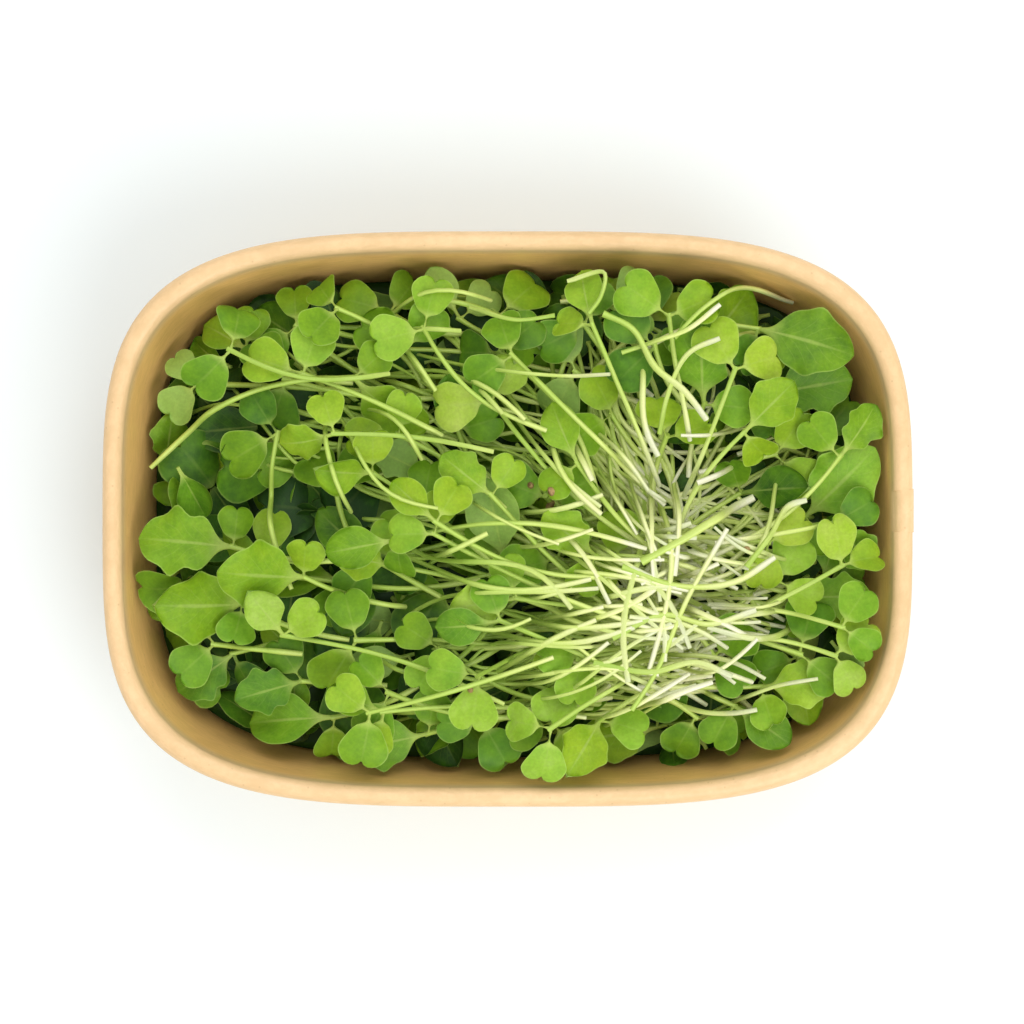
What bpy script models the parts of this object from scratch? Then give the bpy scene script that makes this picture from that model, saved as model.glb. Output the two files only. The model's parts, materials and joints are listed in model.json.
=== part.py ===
# Cut arugula microgreens heaped in an oblong kraft board tray.
# Origin at the centre of the tray's foot, +Z up, +X along the tray.

import math
import random

import bmesh
import bpy
import numpy as np

MM = 0.001
SHARP_ANGLE = math.radians(40)

# Tray, in millimetres
RIM_HALF_LENGTH = 86.0
RIM_HALF_WIDTH = 61.1
CORNER_POWER = 3.66
TRAY_HEIGHT = 50.0
BOARD = 0.7
FIT_GAP = 0.3
FOOT_INSET = 11.0
ROLL_RADIUS = 2.1
ROLL_OPEN_ANGLE = -120
HEM_HEIGHT = 3.6
BASE_RECESS = 4.0
LAP_FROM = -2.9
LAP_TO = 6.45
LAP_STEP = 0.25
LAP_RAMP = 0.35
PLAN_STEPS = 44
ROLL_STEP_ANGLE = 50

# Greens, in millimetres
SEED = 7
CORE_FLOOR = 5.0
CORE_EDGE_HEIGHT = 30.5
CORE_CROWN_HEIGHT = 35.0
CORE_SHOULDER_RISE = 0.55
CORE_SHOULDER_SCALE = 0.78
CORE_CROWN_SCALE = 0.4
CORE_MIDDLE_SCALE = 0.1
CORE_BUMP = 1.2
CORE_CLEARANCE = 1.3
CORE_STEPS = 24
CORE_WALL_GAP = 1.6
BED_LEAVES = 54
BED_HALF_LENGTH = 66
BED_HALF_WIDTH = 43
BED_SPREAD_POWER = 0.85
BED_ROOT_DEPTH = 2.0
GOLDEN_ANGLE = 2.399963
BLADE_THICKNESS = 0.72
STALK_HALF_WIDTH = 0.3
RIPPLE_OFFSET = 1.3
RIPPLE_REACH = 2.6
STEM_RADIUS = 0.75
STEM_SIDES = 3
STEM_PARTS = 5
FINE_PARTS = 8
STEM_NODE_RADIUS = 1.15
STALK_ROOT_DEPTH = 0.7
REST_GAP = 0.3
WALL_GAP = 0.9
HEAD_DROP = 1.0
NECK_SHARE = 0.4
PITCHES = np.linspace(-0.6, 0.5, 12)
ROLL_TRIAL = 0.35
CELL = 0.5
BELOW_ALL = -1000.0

# Base colours
SLEEVE_COLOUR = (0.62, 0.40, 0.20)
BASE_COLOUR = (0.58, 0.37, 0.18)
BED_COLOUR = (0.20, 0.32, 0.09)
SPROUT_COLOUR = (0.20, 0.38, 0.10)

# Half outlines of a blade of length 1: edge along, edge across, midrib along
HEART = [
    (0.00, 0.05, 0.00),
    (0.32, 0.42, 0.28),
    (0.70, 0.55, 0.58),
    (1.00, 0.26, 0.84),
]
OVAL = [
    (0.00, 0.05, 0.00),
    (0.36, 0.34, 0.34),
    (0.74, 0.32, 0.72),
    (1.00, 0.06, 1.00),
]
LOBED = [
    (0.00, 0.05, 0.00),
    (0.27, 0.33, 0.25),
    (0.39, 0.23, 0.37),
    (0.57, 0.43, 0.53),
    (0.71, 0.29, 0.68),
    (0.86, 0.25, 0.83),
    (1.00, 0.05, 1.00),
]
OUTLINES = {"heart": HEART, "oval": OVAL, "lobed": LOBED}

# Stems with leaves from the lowest up: leaves, head x, head y, heading in degrees,
# cut end x, cut end y, bow as a share of the stem's length, length of the main leaf
SPROUTS = [
    ("oval", -42, -48, 185, -23, -41, 0.05, 16),
    ("lobed", -18, -47, 190, -1, -42, 0, 14),
    ("pair", -6, -44, 240, 11, -38, 0.05, 9),
    ("pair", 9, -44, 250, 22, -36, 0, 9),
    ("pair", 41, -43, 290, 28, -36, 0.05, 10),
    ("oval", 50, -41, 325, 39, -36, 0, 12),
    ("oval", 69, -34, 280, 53, -28, 0.05, 12),
    ("lobed", -67, -33, 215, -47, -28, 0, 13),
    ("lobed", -45, -35, 195, -26, -36, 0, 13),
    ("pair", -64, -27, 175, -44, -29, 0, 9),
    ("pair", -46, 42, 155, -17, 24, 0.05, 8),
    ("pair", -26, 45, 110, -8, 40, 0.1, 9),
    ("oval", -11, 44, 120, 4, 37, 0.05, 10),
    ("pair", -1, 50, 0, -17, 54, 0.05, 10),
    ("pair", 33, 46, 20, 20, 35, 0.05, 9),
    ("lobed", 45, 40, 50, 34, 26, 0, 14),
    ("oval", 64, 45, 350, 44, 38, 0.05, 10),
    ("oval", 72, -14, 75, 56, -17, 0.05, 13),
    ("pair", -71, 31, 180, -34, 29, 0, 8),
    ("oval", -57, 37, 150, -33, 29, 0.08, 11),
    ("pair", -48, 30, 190, -14, 26, 0.05, 10),
    ("lobed", -58, -18, 180, -34, -26, 0.05, 19),
    ("oval", -30, -8, 140, -14, -17, 0, 13),
    ("pair", -37, 7, 90, -31, -9, 0.05, 9),
    ("pair", 14, 32, 180, 29, 25, 0.05, 10),
    ("pair", -22, 37, 100, -13, 25, 0.05, 10),
    ("oval", -11, 20, 100, -6, 6, 0, 11),
    ("pair", 25, 48, 5, 13, 50, 0.1, 8),
    ("pair", 16, 42, 140, 31, 26, 0.05, 9),
    ("pair", 22, 23, 165, 33, 10, 0.05, 9),
    ("pair", 68, 17, 0, 50, 14, 0.05, 10),
    ("lobed", 57, 27, 10, 41, 24, 0, 16),
    ("lobed", 57, 42, 345, 31, 37, 0.12, 18),
    ("lobed", 42, 25, 95, 39, 9, 0.05, 17),
    ("pair", 58, 14, 10, 41, 10, 0, 10),
    ("lobed", 68, -18, 0, 44, -14, 0.05, 13),
    ("lobed", 55, -36, 5, 28, -36, 0, 13),
    ("pair", 63, -29, 15, 29, -23, 0.05, 10),
    ("pair", 45, -30, 0, 28, -14, 0.05, 10),
    ("lobed", -62, -6, 175, -37, -9, 0.05, 18),
    ("pair", -49, 19, 165, -46, -15, 0.1, 10),
    ("lobed", -44, -12, 175, -22, -19, 0.05, 18),
    ("pair", -33, -26, 170, 24, -34, -0.05, 11),
    ("pair", -26, -37, 190, 12, -41, 0.08, 9),
    ("lobed", -32, 30, 320, -77, 11, 0.12, 17),
    ("lobed", -18, 10, 155, 12, -9, 0.03, 11),
    ("pair", -2, 36, 110, 20, 0, -0.12, 9),
    ("pair", 31, 37, 180, 42, 21, 0.12, 10),
    ("pair", 8, 5, 90, 24, -9, 0.05, 10),
    ("pair", 34, 18, 60, 31, 0, 0.05, 9),
    ("lobed", 67, 1, 45, 48, -11, 0.05, 18),
    ("oval", 51, 6, 5, 28, -13, 0.05, 13),
    ("oval", -1, -10, 100, 41, -2, -0.15, 16),
    ("pair", 10, -8, 130, 24, -17, 0.05, 10),
]

WALL_SLOPE = (FOOT_INSET - 2 * ROLL_RADIUS + BOARD) / (TRAY_HEIGHT - ROLL_RADIUS)


# Plan of the tray


def power_direction(turn):
    """Unit superellipse point at a parameter turn in radians."""
    power = 2 / CORNER_POWER
    along, across = math.cos(turn), math.sin(turn)
    return (
        math.copysign(abs(along) ** power, along),
        math.copysign(abs(across) ** power, across),
    )


def even_turns(count):
    """Parameter turns that share out both the length and the bending of the outline."""
    fine = [2 * math.pi * step / 2400 for step in range(2401)]
    points = np.array([power_direction(turn) for turn in fine])
    points = points * (RIM_HALF_LENGTH, RIM_HALF_WIDTH)
    steps = np.diff(points, axis=0)
    length = np.hypot(steps[:, 0], steps[:, 1])
    facing = np.unwrap(np.arctan2(steps[:, 1], steps[:, 0]))
    bending = np.abs(np.diff(facing, prepend=facing[0]))
    share = np.cumsum(length / length.sum() + bending / bending.sum())
    share = np.concatenate([[0], share]) / share[-1]
    return [float(np.interp(step / count, share, fine)) for step in range(count)]


def lap_turn(across):
    """Parameter turn on the +X side at a distance across the tray."""
    sine = (abs(across) / RIM_HALF_WIDTH) ** (CORNER_POWER / 2)
    return math.copysign(math.asin(sine), across)


def plan_with_lap():
    """Outline directions round the tray, each with its share of the lap's step."""
    turns = [turn if turn < math.pi else turn - 2 * math.pi for turn in even_turns(PLAN_STEPS)]
    start, end = lap_turn(LAP_FROM), lap_turn(LAP_TO)
    plan = [(turn, 1 if start < turn < end else 0) for turn in turns]
    plan = [row for row in plan if min(abs(row[0] - start), abs(row[0] - end)) > 0.01]
    for across, step in ((LAP_FROM, 1), (LAP_TO, -1)):
        plan.append((lap_turn(across), 0))
        plan.append((lap_turn(across + LAP_RAMP * step), 1))
    return [(power_direction(turn), lap) for turn, lap in sorted(plan)]


def wall_inner(height):
    """Inset of the sleeve's inner face from the rim's outermost line at a height."""
    return -FOOT_INSET - BOARD + WALL_SLOPE * height


# Meshes


def shade(mesh):
    """Smooth shading with its sharp edges kept."""
    mesh.shade_smooth()
    mesh.set_sharp_from_angle(angle=SHARP_ANGLE)


def add_object(name, vertices, faces, colour, roughness):
    mesh = bpy.data.meshes.new(name)
    mesh.from_pydata([tuple(float(c) * MM for c in vertex) for vertex in vertices], [], faces)
    mesh.validate()
    body = bmesh.new()
    body.from_mesh(mesh)
    bmesh.ops.recalc_face_normals(body, faces=body.faces)
    body.to_mesh(mesh)
    body.free()
    shade(mesh)
    thing = bpy.data.objects.new(name, mesh)
    bpy.context.scene.collection.objects.link(thing)
    material = bpy.data.materials.new(name)
    material.use_nodes = True
    shader = material.node_tree.nodes["Principled BSDF"]
    shader.inputs["Base Color"].default_value = (*colour, 1)
    shader.inputs["Roughness"].default_value = roughness
    shader.inputs["Metallic"].default_value = 0
    mesh.materials.append(material)
    return thing


def swept_ring(name, plan, profile, colour):
    """Closed profile of (inset, height, lap share) carried round the plan."""
    vertices = []
    for (along, across), lap in plan:
        for inset, height, share in profile:
            reach = inset + LAP_STEP * lap * share
            vertices.append(
                ((RIM_HALF_LENGTH + reach) * along, (RIM_HALF_WIDTH + reach) * across, height)
            )
    size, count = len(profile), len(plan)
    faces = []
    for ring in range(count):
        following = (ring + 1) % count
        for step in range(size):
            after = (step + 1) % size
            near, far = ring * size, following * size
            faces.append((near + step, far + step, far + after, near + after))
    return add_object(name, vertices, faces, colour, 0.75)


def capped_rings(name, rings, colour, roughness):
    """Rings of equal count joined in a row, the first and last closed by flat caps."""
    count = len(rings[0])
    vertices = [vertex for ring in rings for vertex in ring]
    faces = [tuple(range(count)), tuple(range((len(rings) - 1) * count, len(rings) * count))]
    for level in range(len(rings) - 1):
        for step in range(count):
            after = (step + 1) % count
            low = level * count
            faces.append((low + step, low + after, low + count + after, low + count + step))
    return add_object(name, vertices, faces, colour, roughness)


# Tray


def sleeve_profile():
    roll_height = TRAY_HEIGHT - ROLL_RADIUS
    angles = range(180, ROLL_OPEN_ANGLE - 1, -ROLL_STEP_ANGLE)
    inner = [
        (
            -ROLL_RADIUS + (ROLL_RADIUS - BOARD) * math.cos(math.radians(angle)),
            roll_height + (ROLL_RADIUS - BOARD) * math.sin(math.radians(angle)),
            1,
        )
        for angle in angles
    ]
    outer = [
        (
            -ROLL_RADIUS + ROLL_RADIUS * math.cos(math.radians(angle)),
            roll_height + ROLL_RADIUS * math.sin(math.radians(angle)),
            0 if angle == 180 else 1,
        )
        for angle in reversed(angles)
    ]
    groove = BOARD + 2 * FIT_GAP
    fold = -FOOT_INSET - BOARD - groove
    hem = [
        (wall_inner(BOARD), BOARD, 0),
        (fold + WALL_SLOPE * BOARD, BOARD, 0),
        (fold + WALL_SLOPE * HEM_HEIGHT, HEM_HEIGHT, 0),
        (fold - BOARD + WALL_SLOPE * HEM_HEIGHT, HEM_HEIGHT, 0),
        (fold - BOARD, 0, 0),
    ]
    return [(-FOOT_INSET, 0, 1)] + inner + outer + hem


def outline_ring(plan, inset, height):
    return [
        ((RIM_HALF_LENGTH + inset) * along, (RIM_HALF_WIDTH + inset) * across, height)
        for along, across in plan
    ]


def make_tray():
    swept_ring("tray_wall", plan_with_lap(), sleeve_profile(), SLEEVE_COLOUR)
    plan = [power_direction(turn) for turn in even_turns(PLAN_STEPS)]
    top = BASE_RECESS + BOARD
    flange_foot = BOARD + FIT_GAP
    outer, inner = -FIT_GAP, -FIT_GAP - BOARD
    rings = [
        outline_ring(plan, wall_inner(top) + outer, top),
        outline_ring(plan, wall_inner(flange_foot) + outer, flange_foot),
        outline_ring(plan, wall_inner(flange_foot) + inner, flange_foot),
        outline_ring(plan, wall_inner(BASE_RECESS) + inner, BASE_RECESS),
    ]
    capped_rings("tray_base", rings, BASE_COLOUR, 0.8)


# Leaves and stems


def relief(along, across, length, form):
    """Height of a blade over its own plane."""
    share = min(max(along / length, 0), 1)
    height = form["rise"] * along - form["droop"] * share * share * length
    height += form["fold"] * abs(across) + form["cup"] * across * across / length
    offset = RIPPLE_OFFSET if across > 0 else 0
    ripple = math.sin(form["ripples"] * share + form["phase"] + offset)
    return height + form["wave"] * length * ripple * min(1, (RIPPLE_REACH * across / length) ** 2)


def blade_rows(kind, length, stalk, form):
    """Left, midrib and right points of a blade, from its root to its tip."""
    rows = [(-stalk, STALK_HALF_WIDTH, -stalk)] if stalk else []
    rows += [(edge * length, half * length, mid * length) for edge, half, mid in OUTLINES[kind]]
    points = []
    for edge, half, mid in rows:
        for along, across in ((edge, half), (mid, 0), (edge, -half)):
            points.append((along + stalk, across, relief(along, across, length, form)))
    points = np.array(points)
    points[:, 2] += form["rise"] * stalk
    return points


def turned(points, heading, pitch, roll):
    """Points turned about the stem's end: rolled, pitched up, then headed."""
    roll_cos, roll_sin = math.cos(roll), math.sin(roll)
    pitch_cos, pitch_sin = math.cos(pitch), math.sin(pitch)
    head_cos, head_sin = math.cos(heading), math.sin(heading)
    x, y, z = points.T
    y, z = y * roll_cos - z * roll_sin, y * roll_sin + z * roll_cos
    x, z = x * pitch_cos - z * pitch_sin, x * pitch_sin + z * pitch_cos
    return np.stack([x * head_cos - y * head_sin, x * head_sin + y * head_cos, z], axis=1)


def blade_solid(rows, heading, pitch, roll, place):
    """Closed blade: both faces share their split and stand one thickness apart."""
    half = np.array([0, 0, BLADE_THICKNESS / 2])
    vertices = np.concatenate(
        [turned(rows + half, heading, pitch, roll), turned(rows - half, heading, pitch, roll)]
    )
    count = len(rows)
    last = count - 3
    faces = []
    for row in range(0, last, 3):
        left, mid, right = row, row + 1, row + 2
        split = [
            (left, mid, left + 3),
            (mid, mid + 3, left + 3),
            (mid, right, mid + 3),
            (right, right + 3, mid + 3),
        ]
        faces += split
        faces += [(c + count, b + count, a + count) for a, b, c in split]
    rim = list(range(0, count, 3)) + [last + 1] + list(range(last + 2, 0, -3)) + [1]
    for index, start in enumerate(rim):
        end = rim[(index + 1) % len(rim)]
        faces += [(start, end, end + count), (start, end + count, start + count)]
    return vertices + place, faces


def stem_solid(route):
    """Three-sided stem along a route of points."""
    vertices, faces = [], []
    for index, point in enumerate(route):
        along = route[min(index + 1, len(route) - 1)] - route[max(index - 1, 0)]
        along = along / np.linalg.norm(along)
        side = np.cross(along, (0, 0, 1))
        side = side / np.linalg.norm(side)
        up = np.cross(side, along)
        radius = STEM_NODE_RADIUS if index == len(route) - 1 else STEM_RADIUS
        for step in range(STEM_SIDES):
            angle = math.radians(90 + 360 * step / STEM_SIDES)
            vertices.append(point + radius * (math.cos(angle) * side + math.sin(angle) * up))
    for ring in range(len(route) - 1):
        for step in range(STEM_SIDES):
            after = (step + 1) % STEM_SIDES
            low, high = ring * STEM_SIDES, (ring + 1) * STEM_SIDES
            faces.append((low + step, low + after, high + after))
            faces.append((low + step, high + after, high + step))
    end = (len(route) - 1) * STEM_SIDES
    faces += [(0, 1, 2), (end, end + 1, end + 2)]
    return np.array(vertices), faces


# Heap: a map of the highest point laid so far


class Heap:
    def __init__(self):
        self.wide = int(RIM_HALF_LENGTH / CELL) + 4
        self.deep = int(RIM_HALF_WIDTH / CELL) + 4
        self.top = np.zeros((2 * self.wide + 1, 2 * self.deep + 1))

    def cells(self, points):
        column = np.rint(points[:, 0] / CELL).astype(int) + self.wide
        row = np.rint(points[:, 1] / CELL).astype(int) + self.deep
        return np.clip(column, 1, 2 * self.wide - 1), np.clip(row, 1, 2 * self.deep - 1)

    def spread(self, solids, spacing=0.8 * CELL):
        """Points over every face, close enough to touch each cell that it crosses."""
        samples = []
        for vertices, faces in solids:
            a, b, c = (vertices[[face[corner] for face in faces]] for corner in range(3))
            edges = np.concatenate([b - a, c - a])
            longest = np.linalg.norm(edges, axis=1).max()
            count = int(longest / spacing) + 2
            for i in range(count + 1):
                for j in range(count + 1 - i):
                    samples.append(a + (i / count) * (b - a) + (j / count) * (c - a))
        return np.concatenate(samples)

    def lift(self, samples):
        """How far the samples must rise to clear the heap."""
        column, row = self.cells(samples)
        under = np.full(len(samples), BELOW_ALL)
        for i in (-1, 0, 1):
            for j in (-1, 0, 1):
                under = np.maximum(under, self.top[column + i, row + j])
        return float((under - samples[:, 2]).max()) + REST_GAP

    def lay(self, samples):
        column, row = self.cells(samples)
        np.maximum.at(self.top, (column, row), samples[:, 2])

    def height(self, x, y, reach=1):
        column, row = self.cells(np.array([[x, y, 0.0]]))
        column, row = int(column[0]), int(row[0])
        low_column, low_row = max(column - reach, 0), max(row - reach, 0)
        return float(self.top[low_column : column + reach + 1, low_row : row + reach + 1].max())


def inward_shift(points):
    """Move in plan that brings every point inside the sleeve."""
    move = np.zeros(3)
    for _ in range(12):
        placed = points + move
        inset = wall_inner(np.minimum(placed[:, 2], TRAY_HEIGHT - ROLL_RADIUS)) - WALL_GAP
        x = np.abs(placed[:, 0]) / (RIM_HALF_LENGTH + inset)
        y = np.abs(placed[:, 1]) / (RIM_HALF_WIDTH + inset)
        reach = (x**CORNER_POWER + y**CORNER_POWER) ** (1 / CORNER_POWER)
        worst = int(reach.argmax())
        if reach[worst] <= 1:
            return move
        move[:2] -= placed[worst, :2] * (1 - 0.995 / reach[worst])
    return move


def best_lie(draw, heap, rows, way, place):
    """Pitch and roll with which a blade lies closest on the heap."""
    wish_pitch, wish_roll = draw.uniform(-0.1, 0.25), draw.uniform(-0.3, 0.3)
    under = rows - np.array([0, 0, BLADE_THICKNESS / 2])
    under = np.concatenate([under, (under[3:] + under[:-3]) / 2, (under[1:] + under[:-1]) / 2])
    best = None
    for pitch in PITCHES:
        for roll in (wish_roll - ROLL_TRIAL, wish_roll, wish_roll + ROLL_TRIAL):
            lift = heap.lift(turned(under, way, pitch, roll) + place)
            cost = abs(lift) + 1.5 * abs(pitch - wish_pitch) + abs(roll - wish_roll)
            if best is None or cost < best[0]:
                best = (cost, pitch, roll)
    return best[1], best[2]


def stem_route(heap, head, cut, bow):
    """Points from the cut end to the head, bowed in plan and laid over the heap."""
    head, cut = np.array(head, float), np.array(cut, float)
    span = head - cut
    side = np.array([-span[1], span[0]])
    fine = np.linspace(0, 1, FINE_PARTS * STEM_PARTS + 1)
    plan = [cut + span * s + side * bow * math.sin(math.pi * s) for s in fine]
    ground = np.array([heap.height(x, y, 3) for x, y in plan]) + STEM_RADIUS + REST_GAP
    route = []
    for station in range(0, len(fine), FINE_PARTS):
        near = ground[max(station - FINE_PARTS + 1, 0) : station + FINE_PARTS]
        route.append((*plan[station], near.max()))
    return np.array(route)


def stalk_root(route):
    """Place inside the stem's end where the leaf stalks start."""
    ending = route[-1] - route[-2]
    return route[-1] - ending * STALK_ROOT_DEPTH / np.hypot(ending[0], ending[1])


def leaf_set(draw, kind, length):
    """Leaves at a head: outline, length, stalk and turn from the heading."""
    if kind == "pair":
        spread = math.radians(draw.uniform(42, 72))
        return [
            ("heart", length, draw.uniform(1.5, 3.0), spread),
            ("heart", length * draw.uniform(0.8, 0.98), draw.uniform(1.5, 3.0), -spread),
        ]
    turn = math.radians(draw.uniform(70, 110)) * draw.choice((-1, 1))
    return [
        (kind, length, draw.uniform(1.5, 3.0), 0),
        ("heart", draw.uniform(7.0, 8.5), draw.uniform(1.5, 2.5), turn),
    ]


def leaf_form(draw, kind):
    """Bend, fold and waves of one blade."""
    lobed = kind == "lobed"
    return {
        "rise": draw.uniform(0.05, 0.3),
        "droop": draw.uniform(0.1, 0.4),
        "fold": draw.uniform(-0.12, 0.35),
        "cup": draw.uniform(-0.25, 0.3),
        "ripples": draw.uniform(9, 13) if lobed else draw.uniform(5, 7),
        "wave": draw.uniform(0.03, 0.06) if lobed else draw.uniform(0.01, 0.04),
        "phase": draw.uniform(0, 6.28),
    }


def sprout_solids(draw, heap, sprout):
    """Stem and leaves of one sprout, resting on the heap."""
    kind, head_x, head_y, heading, cut_x, cut_y, bow, length = sprout
    route = stem_route(heap, (head_x, head_y), (cut_x, cut_y), bow)
    root = stalk_root(route)
    blades = []
    for outline, size, stalk, turn in leaf_set(draw, kind, length):
        way = math.radians(heading) + turn
        rows = blade_rows(outline, size, stalk, leaf_form(draw, outline))
        pitch, roll = best_lie(draw, heap, rows, way, root)
        blades.append((rows, way, pitch, roll))
    head_rise = heap.lift(heap.spread([blade_solid(*blade, root) for blade in blades]))
    route[-1, 2] += max(head_rise, -HEAD_DROP)
    route[-2, 2] += max(NECK_SHARE * head_rise, 0)
    root = stalk_root(route)
    solids = [stem_solid(route)] + [blade_solid(*blade, root) for blade in blades]
    for _ in range(2):
        rise = np.array([0, 0, heap.lift(heap.spread(solids))])
        points = np.concatenate([vertices for vertices, _ in solids])
        move = inward_shift(points + rise)
        solids = [(vertices + move, faces) for vertices, faces in solids]
    samples = heap.spread(solids)
    rise = np.array([0, 0, heap.lift(samples)])
    heap.lay(samples + rise)
    return [(vertices + rise, faces) for vertices, faces in solids]


# Bed of lower greens


def shoulder_height():
    return CORE_EDGE_HEIGHT + CORE_SHOULDER_RISE * (CORE_CROWN_HEIGHT - CORE_EDGE_HEIGHT)


def core_rings():
    """Rings of the core from its foot to its crown, all but the first and last uneven."""
    draw = random.Random(SEED)
    plan = [power_direction(turn) for turn in even_turns(CORE_STEPS)]
    levels = [
        (CORE_FLOOR, 1.0, 0),
        (CORE_EDGE_HEIGHT, 1.0, CORE_BUMP),
        (shoulder_height(), CORE_SHOULDER_SCALE, CORE_BUMP),
        (CORE_CROWN_HEIGHT, CORE_CROWN_SCALE, CORE_BUMP),
        (CORE_CROWN_HEIGHT, CORE_MIDDLE_SCALE, 0),
    ]
    rings = []
    for height, scale, bump in levels:
        inset = wall_inner(min(height, CORE_EDGE_HEIGHT)) - CORE_WALL_GAP
        rings.append(
            [
                (scale * x, scale * y, z + draw.uniform(-bump, bump))
                for x, y, z in outline_ring(plan, inset, height)
            ]
        )
    return rings


def core_height(x, y):
    """Highest that the core can be at a place in plan."""
    inset = wall_inner(CORE_EDGE_HEIGHT) - CORE_WALL_GAP
    along = abs(x) / (RIM_HALF_LENGTH + inset)
    across = abs(y) / (RIM_HALF_WIDTH + inset)
    reach = (along**CORNER_POWER + across**CORNER_POWER) ** (1 / CORNER_POWER)
    scales = [CORE_CROWN_SCALE, CORE_SHOULDER_SCALE, 1.0]
    heights = [CORE_CROWN_HEIGHT, shoulder_height(), CORE_EDGE_HEIGHT]
    return float(np.interp(reach, scales, heights)) + CORE_CLEARANCE


def bed_leaf(draw, index):
    """One leaf that stands out of the core, rooted well inside it."""
    kind = draw.choice(("heart", "oval", "heart"))
    reach = math.sqrt((index + 0.5) / BED_LEAVES)
    turn = GOLDEN_ANGLE * index
    along, across = reach * math.cos(turn), reach * math.sin(turn)
    x = BED_HALF_LENGTH * math.copysign(abs(along) ** BED_SPREAD_POWER, along)
    y = BED_HALF_WIDTH * math.copysign(abs(across) ** BED_SPREAD_POWER, across)
    length = draw.uniform(12, 15)
    rows = blade_rows(kind, length, 0, leaf_form(draw, kind))
    way = turn + draw.uniform(-1.4, 1.4)
    place = np.array([x, y, core_height(x, y) - BED_ROOT_DEPTH])
    pitch = draw.uniform(0.18, 0.38)
    vertices, faces = blade_solid(rows, way, pitch, draw.uniform(-0.3, 0.3), place)
    return vertices + inward_shift(vertices), faces


def fused(name, thing, solids, colour, solver="EXACT"):
    """Joins the solids to an object in one union and drops loose scraps."""
    joined = bpy.data.collections.new(name)
    bpy.context.scene.collection.children.link(joined)
    helpers = []
    for vertices, faces in solids:
        helper = add_object(name, vertices, faces, colour, 0.5)
        bpy.context.scene.collection.objects.unlink(helper)
        joined.objects.link(helper)
        helpers.append(helper)
    union = thing.modifiers.new("Union", "BOOLEAN")
    union.operation = "UNION"
    union.operand_type = "COLLECTION"
    union.collection = joined
    union.solver = solver
    graph = bpy.context.evaluated_depsgraph_get()
    mesh = bpy.data.meshes.new_from_object(thing.evaluated_get(graph))
    thing.modifiers.remove(union)
    material = thing.data.materials[0]
    thing.data = mesh
    mesh.materials.clear()
    mesh.materials.append(material)
    mesh.name = name
    shade(mesh)
    for helper in helpers:
        bpy.data.objects.remove(helper)
    bpy.data.collections.remove(joined)
    return thing


def lay_core(heap):
    """Enters the top of the core in the heap's map."""
    for x in np.arange(-RIM_HALF_LENGTH, RIM_HALF_LENGTH, 2 * CELL):
        for y in np.arange(-RIM_HALF_WIDTH, RIM_HALF_WIDTH, 2 * CELL):
            height = core_height(x, y)
            corners = [(x + i * CELL, y + j * CELL, height) for i in (0, 1) for j in (0, 1)]
            heap.lay(np.array(corners))


def make_greens():
    draw = random.Random(SEED)
    heap = Heap()
    bed = capped_rings("sprout_bed", core_rings(), BED_COLOUR, 0.6)
    leaves = [bed_leaf(draw, index) for index in range(BED_LEAVES)]
    lay_core(heap)
    heap.lay(heap.spread(leaves))
    fused("sprout_bed", bed, leaves, BED_COLOUR, "MANIFOLD")
    red, green, blue = SPROUT_COLOUR
    for index, sprout in enumerate(SPROUTS):
        name = f"sprout_{index + 1:02d}"
        solids = sprout_solids(draw, heap, sprout)
        tone = draw.uniform(-0.05, 0.05)
        colour = (red + tone, green + tone, blue)
        stem = add_object(name, *solids[0], colour, 0.5)
        fused(name, stem, solids[1:], colour)


def main():
    for thing in list(bpy.data.objects):
        bpy.data.objects.remove(thing)
    make_tray()
    make_greens()


main()
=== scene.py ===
import json
import math
import random

import bpy
import numpy as np
from mathutils import Euler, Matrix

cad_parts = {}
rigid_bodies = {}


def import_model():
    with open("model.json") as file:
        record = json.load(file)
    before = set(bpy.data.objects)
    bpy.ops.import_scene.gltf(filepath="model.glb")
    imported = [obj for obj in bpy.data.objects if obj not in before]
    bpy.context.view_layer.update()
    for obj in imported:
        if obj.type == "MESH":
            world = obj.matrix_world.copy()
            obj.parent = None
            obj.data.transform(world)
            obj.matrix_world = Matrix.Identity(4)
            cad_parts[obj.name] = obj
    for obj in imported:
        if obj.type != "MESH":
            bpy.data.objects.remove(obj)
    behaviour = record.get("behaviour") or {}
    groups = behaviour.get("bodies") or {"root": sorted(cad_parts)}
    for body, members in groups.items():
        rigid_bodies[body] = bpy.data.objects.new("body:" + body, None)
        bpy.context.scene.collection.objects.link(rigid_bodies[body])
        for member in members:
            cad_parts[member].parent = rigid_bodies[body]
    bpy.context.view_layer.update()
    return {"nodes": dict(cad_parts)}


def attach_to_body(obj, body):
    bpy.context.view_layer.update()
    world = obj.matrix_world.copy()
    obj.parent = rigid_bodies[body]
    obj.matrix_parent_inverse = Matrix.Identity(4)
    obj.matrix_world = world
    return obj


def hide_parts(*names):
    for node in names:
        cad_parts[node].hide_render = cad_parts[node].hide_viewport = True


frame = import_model()

MM = 0.001

# Tray, in millimetres
RIM_HALF_LENGTH = 86.0
RIM_HALF_WIDTH = 61.1
CORNER_POWER = 3.66
TRAY_HEIGHT = 50.0
BOARD = 0.7
FIT_GAP = 0.3
FOOT_INSET = 11.0
ROLL_RADIUS = 2.1
ROLL_OPEN_ANGLE = -120
ROLL_STEPS = 26
HEM_HEIGHT = 3.6
LAP_FROM = -2.9
LAP_TO = 6.45
LAP_STEP = 0.25
LAP_RAMP = 0.12
WALL_STEPS = 260
WALL_RINGS = 12
WALL_SLOPE = (FOOT_INSET - 2 * ROLL_RADIUS + BOARD) / (TRAY_HEIGHT - ROLL_RADIUS)
WALL_SWAYS = ((0.10, 5, 0.7), (0.06, 13, 2.0))
SWAY_HEIGHT = 46
SLEEVE_SHARP_ANGLE = math.radians(38)

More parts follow.
